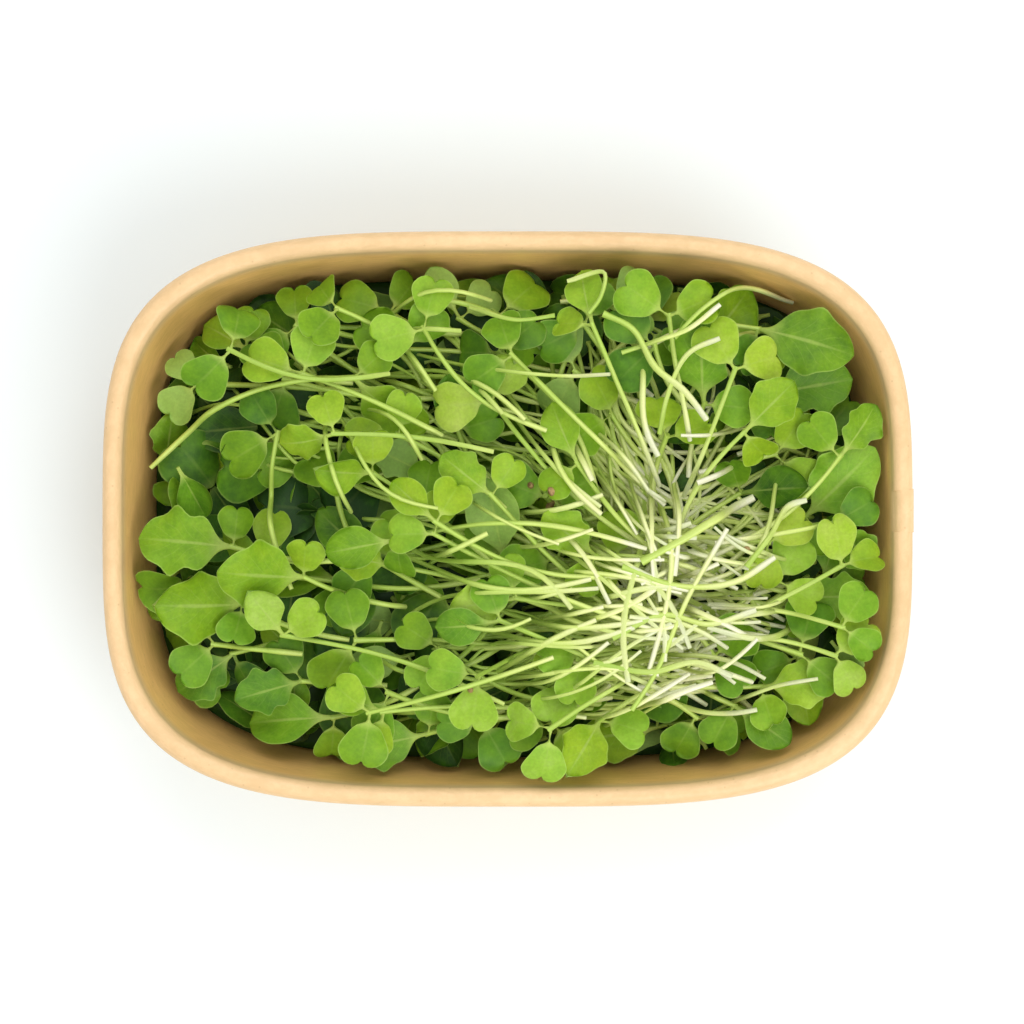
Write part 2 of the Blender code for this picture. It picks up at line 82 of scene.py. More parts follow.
# Greens as the part's source has them, in millimetres
SEED = 7
CORE_FLOOR = 5.0
CORE_EDGE_HEIGHT = 30.5
CORE_CROWN_HEIGHT = 35.0
CORE_SHOULDER_RISE = 0.55
CORE_SHOULDER_SCALE = 0.78
CORE_CROWN_SCALE = 0.4
CORE_CLEARANCE = 1.3
CORE_WALL_GAP = 1.6
BED_LEAVES = 54
BED_HALF_LENGTH = 66
BED_HALF_WIDTH = 43
BED_SPREAD_POWER = 0.85
BED_ROOT_DEPTH = 2.0
GOLDEN_ANGLE = 2.399963
BLADE_THICKNESS = 0.72
STALK_HALF_WIDTH = 0.3
RIPPLE_OFFSET = 1.3
RIPPLE_REACH = 2.6
STEM_RADIUS = 0.75
STEM_SIDES = 3
STEM_PARTS = 5
FINE_PARTS = 8
STEM_NODE_RADIUS = 1.15
STALK_ROOT_DEPTH = 0.7
REST_GAP = 0.3
WALL_GAP = 0.9
HEAD_DROP = 1.0
NECK_SHARE = 0.4
PITCHES = np.linspace(-0.6, 0.5, 12)
ROLL_TRIAL = 0.35
CELL = 0.5
NOTHING_OVER = 1000.0
MOVE_TRIES = 12
MOVE_INSIDE = 0.995

# Fine pieces, in millimetres and radians
FINE_THICKNESS = 0.26
STALK_THICKNESS = 0.95
FINE_STALK_HALF_WIDTH = 0.40
RIB_DEPTH = 0.30
RIB_HALF_WIDTH = 0.34
FRILL = 0.014
CURL = 0.10
TWIST = 0.30
CREASE = 0.16
BEND_STRENGTHS = (1.0, 0.6, 0.2, 0.0)
SEED_LEAF_RIBS = 0.3
RIM_ANGLE = math.radians(52)
FINE_STEM_RADIUS = 0.61
TOP_LIMIT = 57.6
HIGHEST = 58.9
HANG_GAP = 0.5
SEEDLING_GRID = (26, 11)
SMALL_GRID = (22, 9)
BUNDLE_GRID = (16, 7)
LOWER_GRID = (15, 7)
DEEP_GRID = (11, 7)
CLOSE_GRID = (34, 17)
TONE_SPREAD = 0.1

# Fill of loose stems and leaves, in millimetres
MORE_SEEDLINGS = 40
FILL_STEMS = 340
FILL_LEAVES = 300
DEEP_LEAVES = 460
HUSKS = 6
BUNDLE_POINTS = 33
LOOSE_LENGTH = (26, 56)
LOOSE_BOW = 0.11
LOOSE_TWIST = 0.045
LOOSE_WALL_GAP = 12
LOOSE_DEPTH = (0.2, 3.2)
LOOSE_REACH = 3
OPENING_STATIONS = (7, 19)
OPENING_LEAD = 0.1
NEVER_FREE = -0.6
DIVE_SHARE = 0.2
SOFT_WINDOW = np.array([1, 2, 3, 2, 1]) / 9
EVEN_WINDOW = np.ones(5) / 5
FREE_GAP = 0.5
HIDDEN_GAP = 0.8
STRAY_REACH = 4
NECK_STATIONS = 9
SHALLOW_SINK = 5
LEAFLESS_SINK = 9.0
LEVEL_REACH = 13
FILL_STALK = 2.0
FILL_WALL_GAP = 7
FILL_CEILING = 48
DEEP_WALL_GAP = 9
DEEP_KINDS = (("heart", 9.5), ("oval", 13), ("lobed", 16))
DEEP_SHAPES = 9
FILL_LENGTHS = {"heart": (7.5, 11), "oval": (9, 14), "lobed": (11, 18)}
BUNDLE_BENDS = {"cup": (-0.7, 0.9), "fold": (-0.35, 0.7), "droop": (-0.1, 0.8)}
FILL_BENDS = {"cup": (-0.8, 1.0), "fold": (-0.4, 0.8), "droop": (-0.2, 0.8)}

# Seed husks, in millimetres
HUSK_RINGS = 7
HUSK_SIDES = 9
HUSK_HALF_LENGTH = 0.95
HUSK_RADIUS = 0.62
HUSK_DENT = 0.25
HUSK_SINK = 0.6

# Mass under the leaves, painted dark as their shade, in millimetres
MASS_DEPTH = 8
MASS_EDGE_DEPTH = 7
MASS_BUMP = 1.5
MASS_STEPS = 96
MASS_SCALES = (0.97, 0.9, 0.8, 0.7, 0.6, 0.5, 0.4, 0.3, 0.2, 0.1)

# Studio, in metres and watts: name, place, width and power of each lamp
LAMPS = (
    ("key", (0.34, -0.46, 0.80), 0.7, 4.3),
    ("fill", (0.08, 0.52, 0.80), 0.7, 2.3),
    ("overhead", (-0.10, 0.00, 1.30), 1.2, 2.0),
)
LAMP_AIM = (0, 0, 0.03)
WORLD_STRENGTH = 0.67
FLOOR_REACH = 3.0
FLOOR_LEVEL = -0.0002
CAMERA_DISTANCE = 0.62
CAMERA_VIEW_WIDTH = 0.2167
CAMERA_CENTRE = (0.00095, 0.00148, 0.050)
SENSOR_WIDTH = 36.0

# Colours along a level from 0 to 1; the darkest also serve as painted shade for the deep leaves
# and the mass
LEAF_GREENS = (
    (0.0, (0.028, 0.085, 0.012)),
    (0.12, (0.070, 0.190, 0.014)),
    (0.25, (0.130, 0.300, 0.015)),
    (0.5, (0.250, 0.470, 0.020)),
    (0.75, (0.420, 0.620, 0.040)),
    (1.0, (0.570, 0.700, 0.130)),
)
STEM_GREENS = (
    (0.05, (0.760, 0.770, 0.590)),
    (0.20, (0.760, 0.800, 0.410)),
    (0.46, (0.620, 0.730, 0.220)),
    (1.0, (0.430, 0.600, 0.110)),
)

# Bundles of stems: share of all, middle of the cut ends x and y, their spread x and y,
# facing of the heads in degrees and its spread
BUNDLES = [
    (0.40, 36, -17, 12, 10, 176, 20),
    (0.20, 33, 1, 6, 15, 112, 14),
    (0.12, 44, -10, 9, 14, 6, 28),
    (0.10, 40, -32, 11, 5, 215, 30),
    (0.18, -6, 14, 16, 15, 160, 22),
]

# Bent stems loose on top, from the cut end: places in plan, and radius as a share
STRAYS = [
    ([(12.6, 50.1), (20.4, 51.6), (19.4, 46.3), (17, 43)], 0.8),
    ([(62, 47), (50.3, 49.3), (41.1, 44.2), (35, 38)], 0.85),
    ([(44.5, 44.9), (37.2, 39.4), (30.7, 37.2), (24, 35)], 0.85),
    ([(44.5, 37.9), (38.6, 35.3), (33.3, 25.2), (32, 18)], 0.9),
    ([(41.7, 20.9), (36.8, 27.0), (31.2, 31.5), (26, 40), (20, 43)], 1.2),
    ([(52.8, 4.6), (44, 0.2), (36.4, -4.4), (28, -9)], 1.5),
    ([(63.2, 4.0), (59.8, 3.0), (55.1, -3.4), (50, -10)], 1.05),
    ([(-8, 45), (2, 42), (10, 43)], 0.8),
    ([(46, -2), (38, -16), (30, -34), (26, -40)], 0.9),
    ([(56, -8), (48, -13), (36, -14), (24, -10)], 1.1),
    ([(52, -19), (42, -22), (33, -20), (22, -25)], 1.0),
    ([(47, -33), (40, -30), (30, -32), (18, -30)], 1.1),
]

# Half outlines of a blade of length 1: edge along, edge across, midrib along
HEART = [
    (0.00, 0.05, 0.00),
    (0.32, 0.42, 0.28),
    (0.70, 0.55, 0.58),
    (1.00, 0.26, 0.84),
]
OVAL = [
    (0.00, 0.05, 0.00),
    (0.36, 0.34, 0.34),
    (0.74, 0.32, 0.72),
    (1.00, 0.06, 1.00),
]
LOBED = [
    (0.00, 0.05, 0.00),
    (0.27, 0.33, 0.25),
    (0.39, 0.23, 0.37),
    (0.57, 0.43, 0.53),
    (0.71, 0.29, 0.68),
    (0.86, 0.25, 0.83),
    (1.00, 0.05, 1.00),
]
OUTLINES = {"heart": HEART, "oval": OVAL, "lobed": LOBED}

# Row that rounds the base of a fine seed leaf, and rows that round off the tips
HEART_BASE = (0.10, 0.25, 0.09)
TIPS = {
    "heart": [(1.00, 0.13, 0.86), (0.93, 0.03, 0.875), (0.885, 0.006, 0.88)],
    "oval": [(1.015, 0.006, 1.015)],
    "lobed": [(1.015, 0.006, 1.015)],
}
LOBE_NOTCHES = (2, 4)

# Stems with leaves from the lowest up: leaves, head x, head y, heading in degrees,
# cut end x, cut end y, bow as a share of the stem's length, length of the main leaf
SPROUTS = [
    ("oval", -42, -48, 185, -23, -41, 0.05, 16),
    ("lobed", -18, -47, 190, -1, -42, 0, 14),
    ("pair", -6, -44, 240, 11, -38, 0.05, 9),
    ("pair", 9, -44, 250, 22, -36, 0, 9),
    ("pair", 41, -43, 290, 28, -36, 0.05, 10),
    ("oval", 50, -41, 325, 39, -36, 0, 12),
    ("oval", 69, -34, 280, 53, -28, 0.05, 12),
    ("lobed", -67, -33, 215, -47, -28, 0, 13),
    ("lobed", -45, -35, 195, -26, -36, 0, 13),
    ("pair", -64, -27, 175, -44, -29, 0, 9),
    ("pair", -46, 42, 155, -17, 24, 0.05, 8),
    ("pair", -26, 45, 110, -8, 40, 0.1, 9),
    ("oval", -11, 44, 120, 4, 37, 0.05, 10),
    ("pair", -1, 50, 0, -17, 54, 0.05, 10),
    ("pair", 33, 46, 20, 20, 35, 0.05, 9),
    ("lobed", 45, 40, 50, 34, 26, 0, 14),
    ("oval", 64, 45, 350, 44, 38, 0.05, 10),
    ("oval", 72, -14, 75, 56, -17, 0.05, 13),
    ("pair", -71, 31, 180, -34, 29, 0, 8),
    ("oval", -57, 37, 150, -33, 29, 0.08, 11),
    ("pair", -48, 30, 190, -14, 26, 0.05, 10),
    ("lobed", -58, -18, 180, -34, -26, 0.05, 19),
    ("oval", -30, -8, 140, -14, -17, 0, 13),
    ("pair", -37, 7, 90, -31, -9, 0.05, 9),
    ("pair", 14, 32, 180, 29, 25, 0.05, 10),
    ("pair", -22, 37, 100, -13, 25, 0.05, 10),
    ("oval", -11, 20, 100, -6, 6, 0, 11),
    ("pair", 25, 48, 5, 13, 50, 0.1, 8),
    ("pair", 16, 42, 140, 31, 26, 0.05, 9),
    ("pair", 22, 23, 165, 33, 10, 0.05, 9),
    ("pair", 68, 17, 0, 50, 14, 0.05, 10),
    ("lobed", 57, 27, 10, 41, 24, 0, 16),
    ("lobed", 57, 42, 345, 31, 37, 0.12, 18),
    ("lobed", 42, 25, 95, 39, 9, 0.05, 17),
    ("pair", 58, 14, 10, 41, 10, 0, 10),
    ("lobed", 68, -18, 0, 44, -14, 0.05, 13),
    ("lobed", 55, -36, 5, 28, -36, 0, 13),
    ("pair", 63, -29, 15, 29, -23, 0.05, 10),
    ("pair", 45, -30, 0, 28, -14, 0.05, 10),
    ("lobed", -62, -6, 175, -37, -9, 0.05, 18),
    ("pair", -49, 19, 165, -46, -15, 0.1, 10),
    ("lobed", -44, -12, 175, -22, -19, 0.05, 18),
    ("pair", -33, -26, 170, 24, -34, -0.05, 11),
    ("pair", -26, -37, 190, 12, -41, 0.08, 9),
    ("lobed", -32, 30, 320, -77, 11, 0.12, 17),
    ("lobed", -18, 10, 155, 12, -9, 0.03, 11),
    ("pair", -2, 36, 110, 20, 0, -0.12, 9),
    ("pair", 31, 37, 180, 42, 21, 0.12, 10),
    ("pair", 8, 5, 90, 24, -9, 0.05, 10),
    ("pair", 34, 18, 60, 31, 0, 0.05, 9),
    ("lobed", 67, 1, 45, 48, -11, 0.05, 18),
    ("oval", 51, 6, 5, 28, -13, 0.05, 13),
    ("oval", -1, -10, 100, 41, -2, -0.15, 16),
    ("pair", 10, -8, 130, 24, -17, 0.05, 10),
]

# Seedlings that show the pale under sides of their leaves
PALE_SPROUTS = (12, 18, 24, 27, 45, 52)


# Plan of the tray


def power_direction(turn):
    """Unit superellipse point at a parameter turn in radians."""
    power = 2 / CORNER_POWER
    along, across = math.cos(turn), math.sin(turn)
    return (
        math.copysign(abs(along) ** power, along),
        math.copysign(abs(across) ** power, across),
    )


def even_turns(count):
    """Parameter turns that share out both the length and the bending of the outline."""
    fine = [2 * math.pi * step / 2400 for step in range(2401)]
    points = np.array([power_direction(turn) for turn in fine])
    points = points * (RIM_HALF_LENGTH, RIM_HALF_WIDTH)
    steps = np.diff(points, axis=0)
    length = np.hypot(steps[:, 0], steps[:, 1])
    facing = np.unwrap(np.arctan2(steps[:, 1], steps[:, 0]))
    bending = np.abs(np.diff(facing, prepend=facing[0]))
    share = np.cumsum(length / length.sum() + bending / bending.sum())
    share = np.concatenate([[0], share]) / share[-1]
    return [float(np.interp(step / count, share, fine)) for step in range(count)]


def lap_turn(across):
    """Parameter turn on the +X side at a distance across the tray."""
    sine = (abs(across) / RIM_HALF_WIDTH) ** (CORNER_POWER / 2)
    return math.copysign(math.asin(sine), across)


def wall_inner(height):
    """Inset of the sleeve's inner face from the rim's outermost line at a height."""
    return -FOOT_INSET - BOARD + WALL_SLOPE * height


def outline_sum(x, y, inset):
    """Superellipse sum of a place in plan, 1 on the rim's outline moved by an inset."""
    along, across = abs(x) / (RIM_HALF_LENGTH + inset), abs(y) / (RIM_HALF_WIDTH + inset)
    return along**CORNER_POWER + across**CORNER_POWER


# Leaves and stems, as the fixed frame has them


def relief(along, across, length, form):
    """Height of a blade over its own plane."""
    share = np.clip(along / length, 0, 1)
    height = form["rise"] * along - form["droop"] * share * share * length
    height = height + form["fold"] * np.abs(across) + form["cup"] * across * across / length
    offset = np.where(across > 0, RIPPLE_OFFSET, 0)
    ripple = np.sin(form["ripples"] * share + form["phase"] + offset)
    reach = np.minimum(1, (RIPPLE_REACH * across / length) ** 2)
    return height + form["wave"] * length * ripple * reach


def blade_rows(kind, length, stalk, form):
    """Left, midrib and right points of a blade, from its root to its tip."""
    rows = [(-stalk, STALK_HALF_WIDTH, -stalk)] if stalk else []
    rows += [(edge * length, half * length, mid * length) for edge, half, mid in OUTLINES[kind]]
    points = []
    for edge, half, mid in rows:
        for along, across in ((edge, half), (mid, 0), (edge, -half)):
            points.append((along + stalk, across, float(relief(along, across, length, form))))
    points = np.array(points)
    points[:, 2] += form["rise"] * stalk
    return points


def turned(points, heading, pitch, roll):
    """Points turned about the stem's end: rolled, pitched up, then headed."""
    roll_cos, roll_sin = math.cos(roll), math.sin(roll)
    pitch_cos, pitch_sin = math.cos(pitch), math.sin(pitch)
    head_cos, head_sin = math.cos(heading), math.sin(heading)
    x, y, z = points.T
    y, z = y * roll_cos - z * roll_sin, y * roll_sin + z * roll_cos
    x, z = x * pitch_cos - z * pitch_sin, x * pitch_sin + z * pitch_cos
    return np.stack([x * head_cos - y * head_sin, x * head_sin + y * head_cos, z], axis=1)


def blade_solid(rows, heading, pitch, roll, place):
    """Closed blade: both faces share their split and stand one thickness apart."""
    half = np.array([0, 0, BLADE_THICKNESS / 2])
    vertices = np.concatenate(
        [turned(rows + half, heading, pitch, roll), turned(rows - half, heading, pitch, roll)]
    )
    count = len(rows)
    last = count - 3
    faces = []
    for row in range(0, last, 3):
        left, mid, right = row, row + 1, row + 2
        split = [
            (left, mid, left + 3),
            (mid, mid + 3, left + 3),
            (mid, right, mid + 3),
            (right, right + 3, mid + 3),
        ]
        faces += split
        faces += [(c + count, b + count, a + count) for a, b, c in split]
    rim = list(range(0, count, 3)) + [last + 1] + list(range(last + 2, 0, -3)) + [1]
    for index, start in enumerate(rim):
        end = rim[(index + 1) % len(rim)]
        faces += [(start, end, end + count), (start, end + count, start + count)]
    return vertices + place, faces


def stem_solid(route):
    """Three-sided stem along a route of points."""
    vertices, faces = [], []
    for index, point in enumerate(route):
        along = route[min(index + 1, len(route) - 1)] - route[max(index - 1, 0)]
        along = along / np.linalg.norm(along)
        side = np.cross(along, (0, 0, 1))
        side = side / np.linalg.norm(side)
        up = np.cross(side, along)
        radius = STEM_NODE_RADIUS if index == len(route) - 1 else STEM_RADIUS
        for step in range(STEM_SIDES):
            angle = math.radians(90 + 360 / STEM_SIDES * step)
            vertices.append(point + radius * (math.cos(angle) * side + math.sin(angle) * up))
    for ring in range(len(route) - 1):
        low, high = ring * STEM_SIDES, (ring + 1) * STEM_SIDES
        for step in range(STEM_SIDES):
            after = (step + 1) % STEM_SIDES
            faces.append((low + step, low + after, high + after))
            faces.append((low + step, high + after, high + step))
    end = (len(route) - 1) * STEM_SIDES
    faces += [(0, 1, 2), (end, end + 1, end + 2)]
    return np.array(vertices), faces


def around(field, cells, choose):
    """Highest or lowest value of a field in the nine cells round each given one."""
    column, row = cells
    found = field[column, row]
    for i in (-1, 0, 1):
        for j in (-1, 0, 1):
            found = choose(found, field[column + i, row + j])
    return found


class Heap:
    """A map of the highest and lowest points laid so far."""

    def __init__(self):
        self.wide = int(RIM_HALF_LENGTH / CELL) + 4
        self.deep = int(RIM_HALF_WIDTH / CELL) + 4
        self.top = np.zeros((2 * self.wide + 1, 2 * self.deep + 1))
        self.ceiling = np.full(self.top.shape, NOTHING_OVER)
        self.bed = self.top

    def cells(self, points):
        """Columns and rows of the cells under points."""
        column = np.rint(points[:, 0] / CELL).astype(int) + self.wide
        row = np.rint(points[:, 1] / CELL).astype(int) + self.deep
        return np.clip(column, 1, 2 * self.wide - 1), np.clip(row, 1, 2 * self.deep - 1)

    def spread(self, solids, spacing=0.8 * CELL):
        """Points over every face, close enough to touch each cell that it crosses."""
        samples = []
        for vertices, faces in solids:
            a, b, c = (vertices[[face[corner] for face in faces]] for corner in range(3))
            longest = max(np.linalg.norm(side, axis=1).max() for side in (b - a, c - a))
            count = int(longest / spacing) + 2
            for i in range(count + 1):
                for j in range(count + 1 - i):
                    samples.append(a + (i / count) * (b - a) + (j / count) * (c - a))
        return np.concatenate(samples)

    def lift(self, samples):
        """How far the samples must rise to clear the heap."""
        under = around(self.top, self.cells(samples), np.maximum)
        return float((under - samples[:, 2]).max()) + REST_GAP

    def drop(self, samples):
        """How far the samples must sink to pass under everything hung so far."""
        over = around(self.ceiling, self.cells(samples), np.minimum)
        return float((over - samples[:, 2]).min()) - HANG_GAP

    def lay(self, samples):
        """Raises the heap's top to the samples."""
        np.maximum.at(self.top, self.cells(samples), samples[:, 2])

    def hang(self, samples):
        """Lowers the ceiling over what comes later to the samples."""
        np.minimum.at(self.ceiling, self.cells(samples), samples[:, 2])

    def value(self, field, x, y):
        """Value of a field at a place in plan."""
        return float(field[self.cells(np.array([[x, y]]))][0])

    def height(self, x, y, reach):
        """Highest point of the heap within a reach of cells round a place in plan."""
        column, row = self.cells(np.array([[x, y]]))
        column, row = int(column[0]), int(row[0])
        low_column, low_row = max(column - reach, 0), max(row - reach, 0)
        return float(self.top[low_column : column + reach + 1, low_row : row + reach + 1].max())


def inward_shift(points):
    """Move in plan that brings every point inside the sleeve."""
    move = np.zeros(3)
    for _ in range(MOVE_TRIES):
        placed = points + move
        inset = wall_inner(np.minimum(placed[:, 2], TRAY_HEIGHT - ROLL_RADIUS)) - WALL_GAP
        reach = outline_sum(placed[:, 0], placed[:, 1], inset) ** (1 / CORNER_POWER)
        worst = int(reach.argmax())
        if reach[worst] <= 1:
            return move
        move[:2] -= placed[worst, :2] * (1 - MOVE_INSIDE / reach[worst])
    return move


def best_lie(draw, heap, rows, way, place):
    """Pitch and roll with which a blade lies closest on the heap."""
    wish_pitch, wish_roll = draw.uniform(-0.1, 0.25), draw.uniform(-0.3, 0.3)
    under = rows - np.array([0, 0, BLADE_THICKNESS / 2])
    between = ((under[3:] + under[:-3]) / 2, (under[1:] + under[:-1]) / 2)
    under = np.concatenate([under, *between])
    best = None
    for pitch in PITCHES:
        for roll in (wish_roll - ROLL_TRIAL, wish_roll, wish_roll + ROLL_TRIAL):
            lift = heap.lift(turned(under, way, pitch, roll) + place)
            cost = abs(lift) + 1.5 * abs(pitch - wish_pitch) + abs(roll - wish_roll)
            if best is None or cost < best[0]:
                best = (cost, pitch, roll)
    return best[1], best[2]


def stem_route(heap, head, cut, bow):
    """Points from the cut end to the head, bowed in plan and laid over the heap."""
    head, cut = np.array(head, float), np.array(cut, float)
    span = head - cut
    side = np.array([-span[1], span[0]])
    fine = np.linspace(0, 1, FINE_PARTS * STEM_PARTS + 1)
    plan = [cut + span * s + side * bow * math.sin(math.pi * s) for s in fine]
    ground = np.array([heap.height(x, y, 3) for x, y in plan]) + STEM_RADIUS + REST_GAP
    route = []
    for station in range(0, len(fine), FINE_PARTS):
        near = ground[max(station - FINE_PARTS + 1, 0) : station + FINE_PARTS]
        route.append((*plan[station], near.max()))
    return np.array(route)


def stalk_root(route):
    """Place inside the stem's end where the leaf stalks start."""
    ending = route[-1] - route[-2]
    return route[-1] - ending * STALK_ROOT_DEPTH / np.hypot(ending[0], ending[1])


def leaf_set(draw, kind, length):
    """Leaves at a head: outline, length, stalk and turn from the heading."""
    if kind == "pair":
        spread = math.radians(draw.uniform(42, 72))
        return [
            ("heart", length, draw.uniform(1.5, 3.0), spread),
            ("heart", length * draw.uniform(0.8, 0.98), draw.uniform(1.5, 3.0), -spread),
        ]
    turn = math.radians(draw.uniform(70, 110)) * draw.choice((-1, 1))
    return [
        (kind, length, draw.uniform(1.5, 3.0), 0),
        ("heart", draw.uniform(7.0, 8.5), draw.uniform(1.5, 2.5), turn),
    ]


def leaf_form(draw, kind):
    """Bend, fold and waves of one blade."""
    lobed = kind == "lobed"
    return {
        "rise": draw.uniform(0.05, 0.3),
        "droop": draw.uniform(0.1, 0.4),
        "fold": draw.uniform(-0.12, 0.35),
        "cup": draw.uniform(-0.25, 0.3),
        "ripples": draw.uniform(9, 13) if lobed else draw.uniform(5, 7),
        "wave": draw.uniform(0.03, 0.06) if lobed else draw.uniform(0.01, 0.04),
        "phase": draw.uniform(0, 6.28),
    }


def laid_sprout(draw, heap, sprout, limit=NOTHING_OVER):
    """Stem route and leaves of a sprout where it rests, or None if that passes the limit."""
    kind, head_x, head_y, heading, cut_x, cut_y, bow, length = sprout
    route = stem_route(heap, (head_x, head_y), (cut_x, cut_y), bow)
    root = stalk_root(route)
    blades, leaves = [], []
    for outline, size, stalk, turn in leaf_set(draw, kind, length):
        way = math.radians(heading) + turn
        form = leaf_form(draw, outline)
        rows = blade_rows(outline, size, stalk, form)
        pitch, roll = best_lie(draw, heap, rows, way, root)
        blades.append((rows, way, pitch, roll))
        leaves.append((outline, size, stalk, form, way, pitch, roll))
    head_rise = heap.lift(heap.spread([blade_solid(*blade, root) for blade in blades]))
    route[-1, 2] += max(head_rise, -HEAD_DROP)
    route[-2, 2] += max(NECK_SHARE * head_rise, 0)
    root = stalk_root(route)
    solids = [stem_solid(route)] + [blade_solid(*blade, root) for blade in blades]
    shift = np.zeros(3)
    for _ in range(2):
        rise = np.array([0, 0, heap.lift(heap.spread(solids))])
        points = np.concatenate([vertices for vertices, _ in solids])
        move = inward_shift(points + rise)
        shift = shift + move
        solids = [(vertices + move, faces) for vertices, faces in solids]
    samples = heap.spread(solids)
    rise = np.array([0, 0, heap.lift(samples)])
    if (samples + rise)[:, 2].max() > limit:
        return None
    heap.lay(samples + rise)
    heap.hang(samples + rise)
    draw.uniform(-0.05, 0.05)  # the part's source draws the seedling's colour here
    return route + shift + rise, [leaf + (root + shift + rise,) for leaf in leaves]


def core_height(x, y):
    """Highest that the core can be at a place in plan."""
    inset = wall_inner(CORE_EDGE_HEIGHT) - CORE_WALL_GAP
    reach = outline_sum(x, y, inset) ** (1 / CORNER_POWER)
    middle = CORE_EDGE_HEIGHT + CORE_SHOULDER_RISE * (CORE_CROWN_HEIGHT - CORE_EDGE_HEIGHT)
    scales = [CORE_CROWN_SCALE, CORE_SHOULDER_SCALE, 1.0]
    height = np.interp(reach, scales, [CORE_CROWN_HEIGHT, middle, CORE_EDGE_HEIGHT])
    return float(height) + CORE_CLEARANCE


def bed_leaf(draw, index):
    """One leaf that stands out of the core, and its solid."""
    kind = draw.choice(("heart", "oval", "heart"))
    reach = math.sqrt((index + 0.5) / BED_LEAVES)
    turn = GOLDEN_ANGLE * index
    along, across = reach * math.cos(turn), reach * math.sin(turn)
    x = BED_HALF_LENGTH * math.copysign(abs(along) ** BED_SPREAD_POWER, along)
    y = BED_HALF_WIDTH * math.copysign(abs(across) ** BED_SPREAD_POWER, across)
    length = draw.uniform(12, 15)
    form = leaf_form(draw, kind)
    rows = blade_rows(kind, length, 0, form)
    way = turn + draw.uniform(-1.4, 1.4)
    place = np.array([x, y, core_height(x, y) - BED_ROOT_DEPTH])
    pitch = draw.uniform(0.18, 0.38)
    roll = draw.uniform(-0.3, 0.3)
    vertices, faces = blade_solid(rows, way, pitch, roll, place)
    move = inward_shift(vertices)
    return (kind, length, 0, form, way, pitch, roll, place + move), (vertices + move, faces)


# Fine meshes


def smooth_path(points, count):
    """Points along a smooth curve through the given ones, evenly shared out."""
    points = np.array(points, float)
    steps = np.linalg.norm(np.diff(points, axis=0), axis=1)
    knots = np.concatenate([[0], np.cumsum(np.maximum(steps, 1e-6))])
    slopes = np.gradient(points, knots, axis=0)
    places = np.linspace(0, knots[-1], count)
    index = np.clip(np.searchsorted(knots, places, "right") - 1, 0, len(knots) - 2)
    width = knots[index + 1] - knots[index]
    share = ((places - knots[index]) / width)[:, None]
    width = width[:, None]
    start, end = points[index], points[index + 1]
    return (
        start * (1 + 2 * share) * (1 - share) ** 2
        + slopes[index] * width * share * (1 - share) ** 2
        + end * share**2 * (3 - 2 * share)
        + slopes[index + 1] * width * share**2 * (share - 1)
    )


def fine_knots(kind, length, stalk, phase):
    """Half outline of a fine blade, with a softer base, notches and tip."""
    knots = [(e * length, h * length, m * length) for e, h, m in OUTLINES[kind] + TIPS[kind]]
    if kind == "lobed":
        soften = 0.68 + 0.24 * math.sin(2.3 * phase)
        for notch in LOBE_NOTCHES:
            edge, half, mid = knots[notch]
            full = (knots[notch - 1][1] + knots[notch + 1][1]) / 2
            knots[notch] = (edge, half + soften * (full - half), mid)
    if kind == "heart":
        knots.insert(1, tuple(share * length for share in HEART_BASE))
    return [(-stalk, FINE_STALK_HALF_WIDTH, -stalk)] + knots if stalk else knots


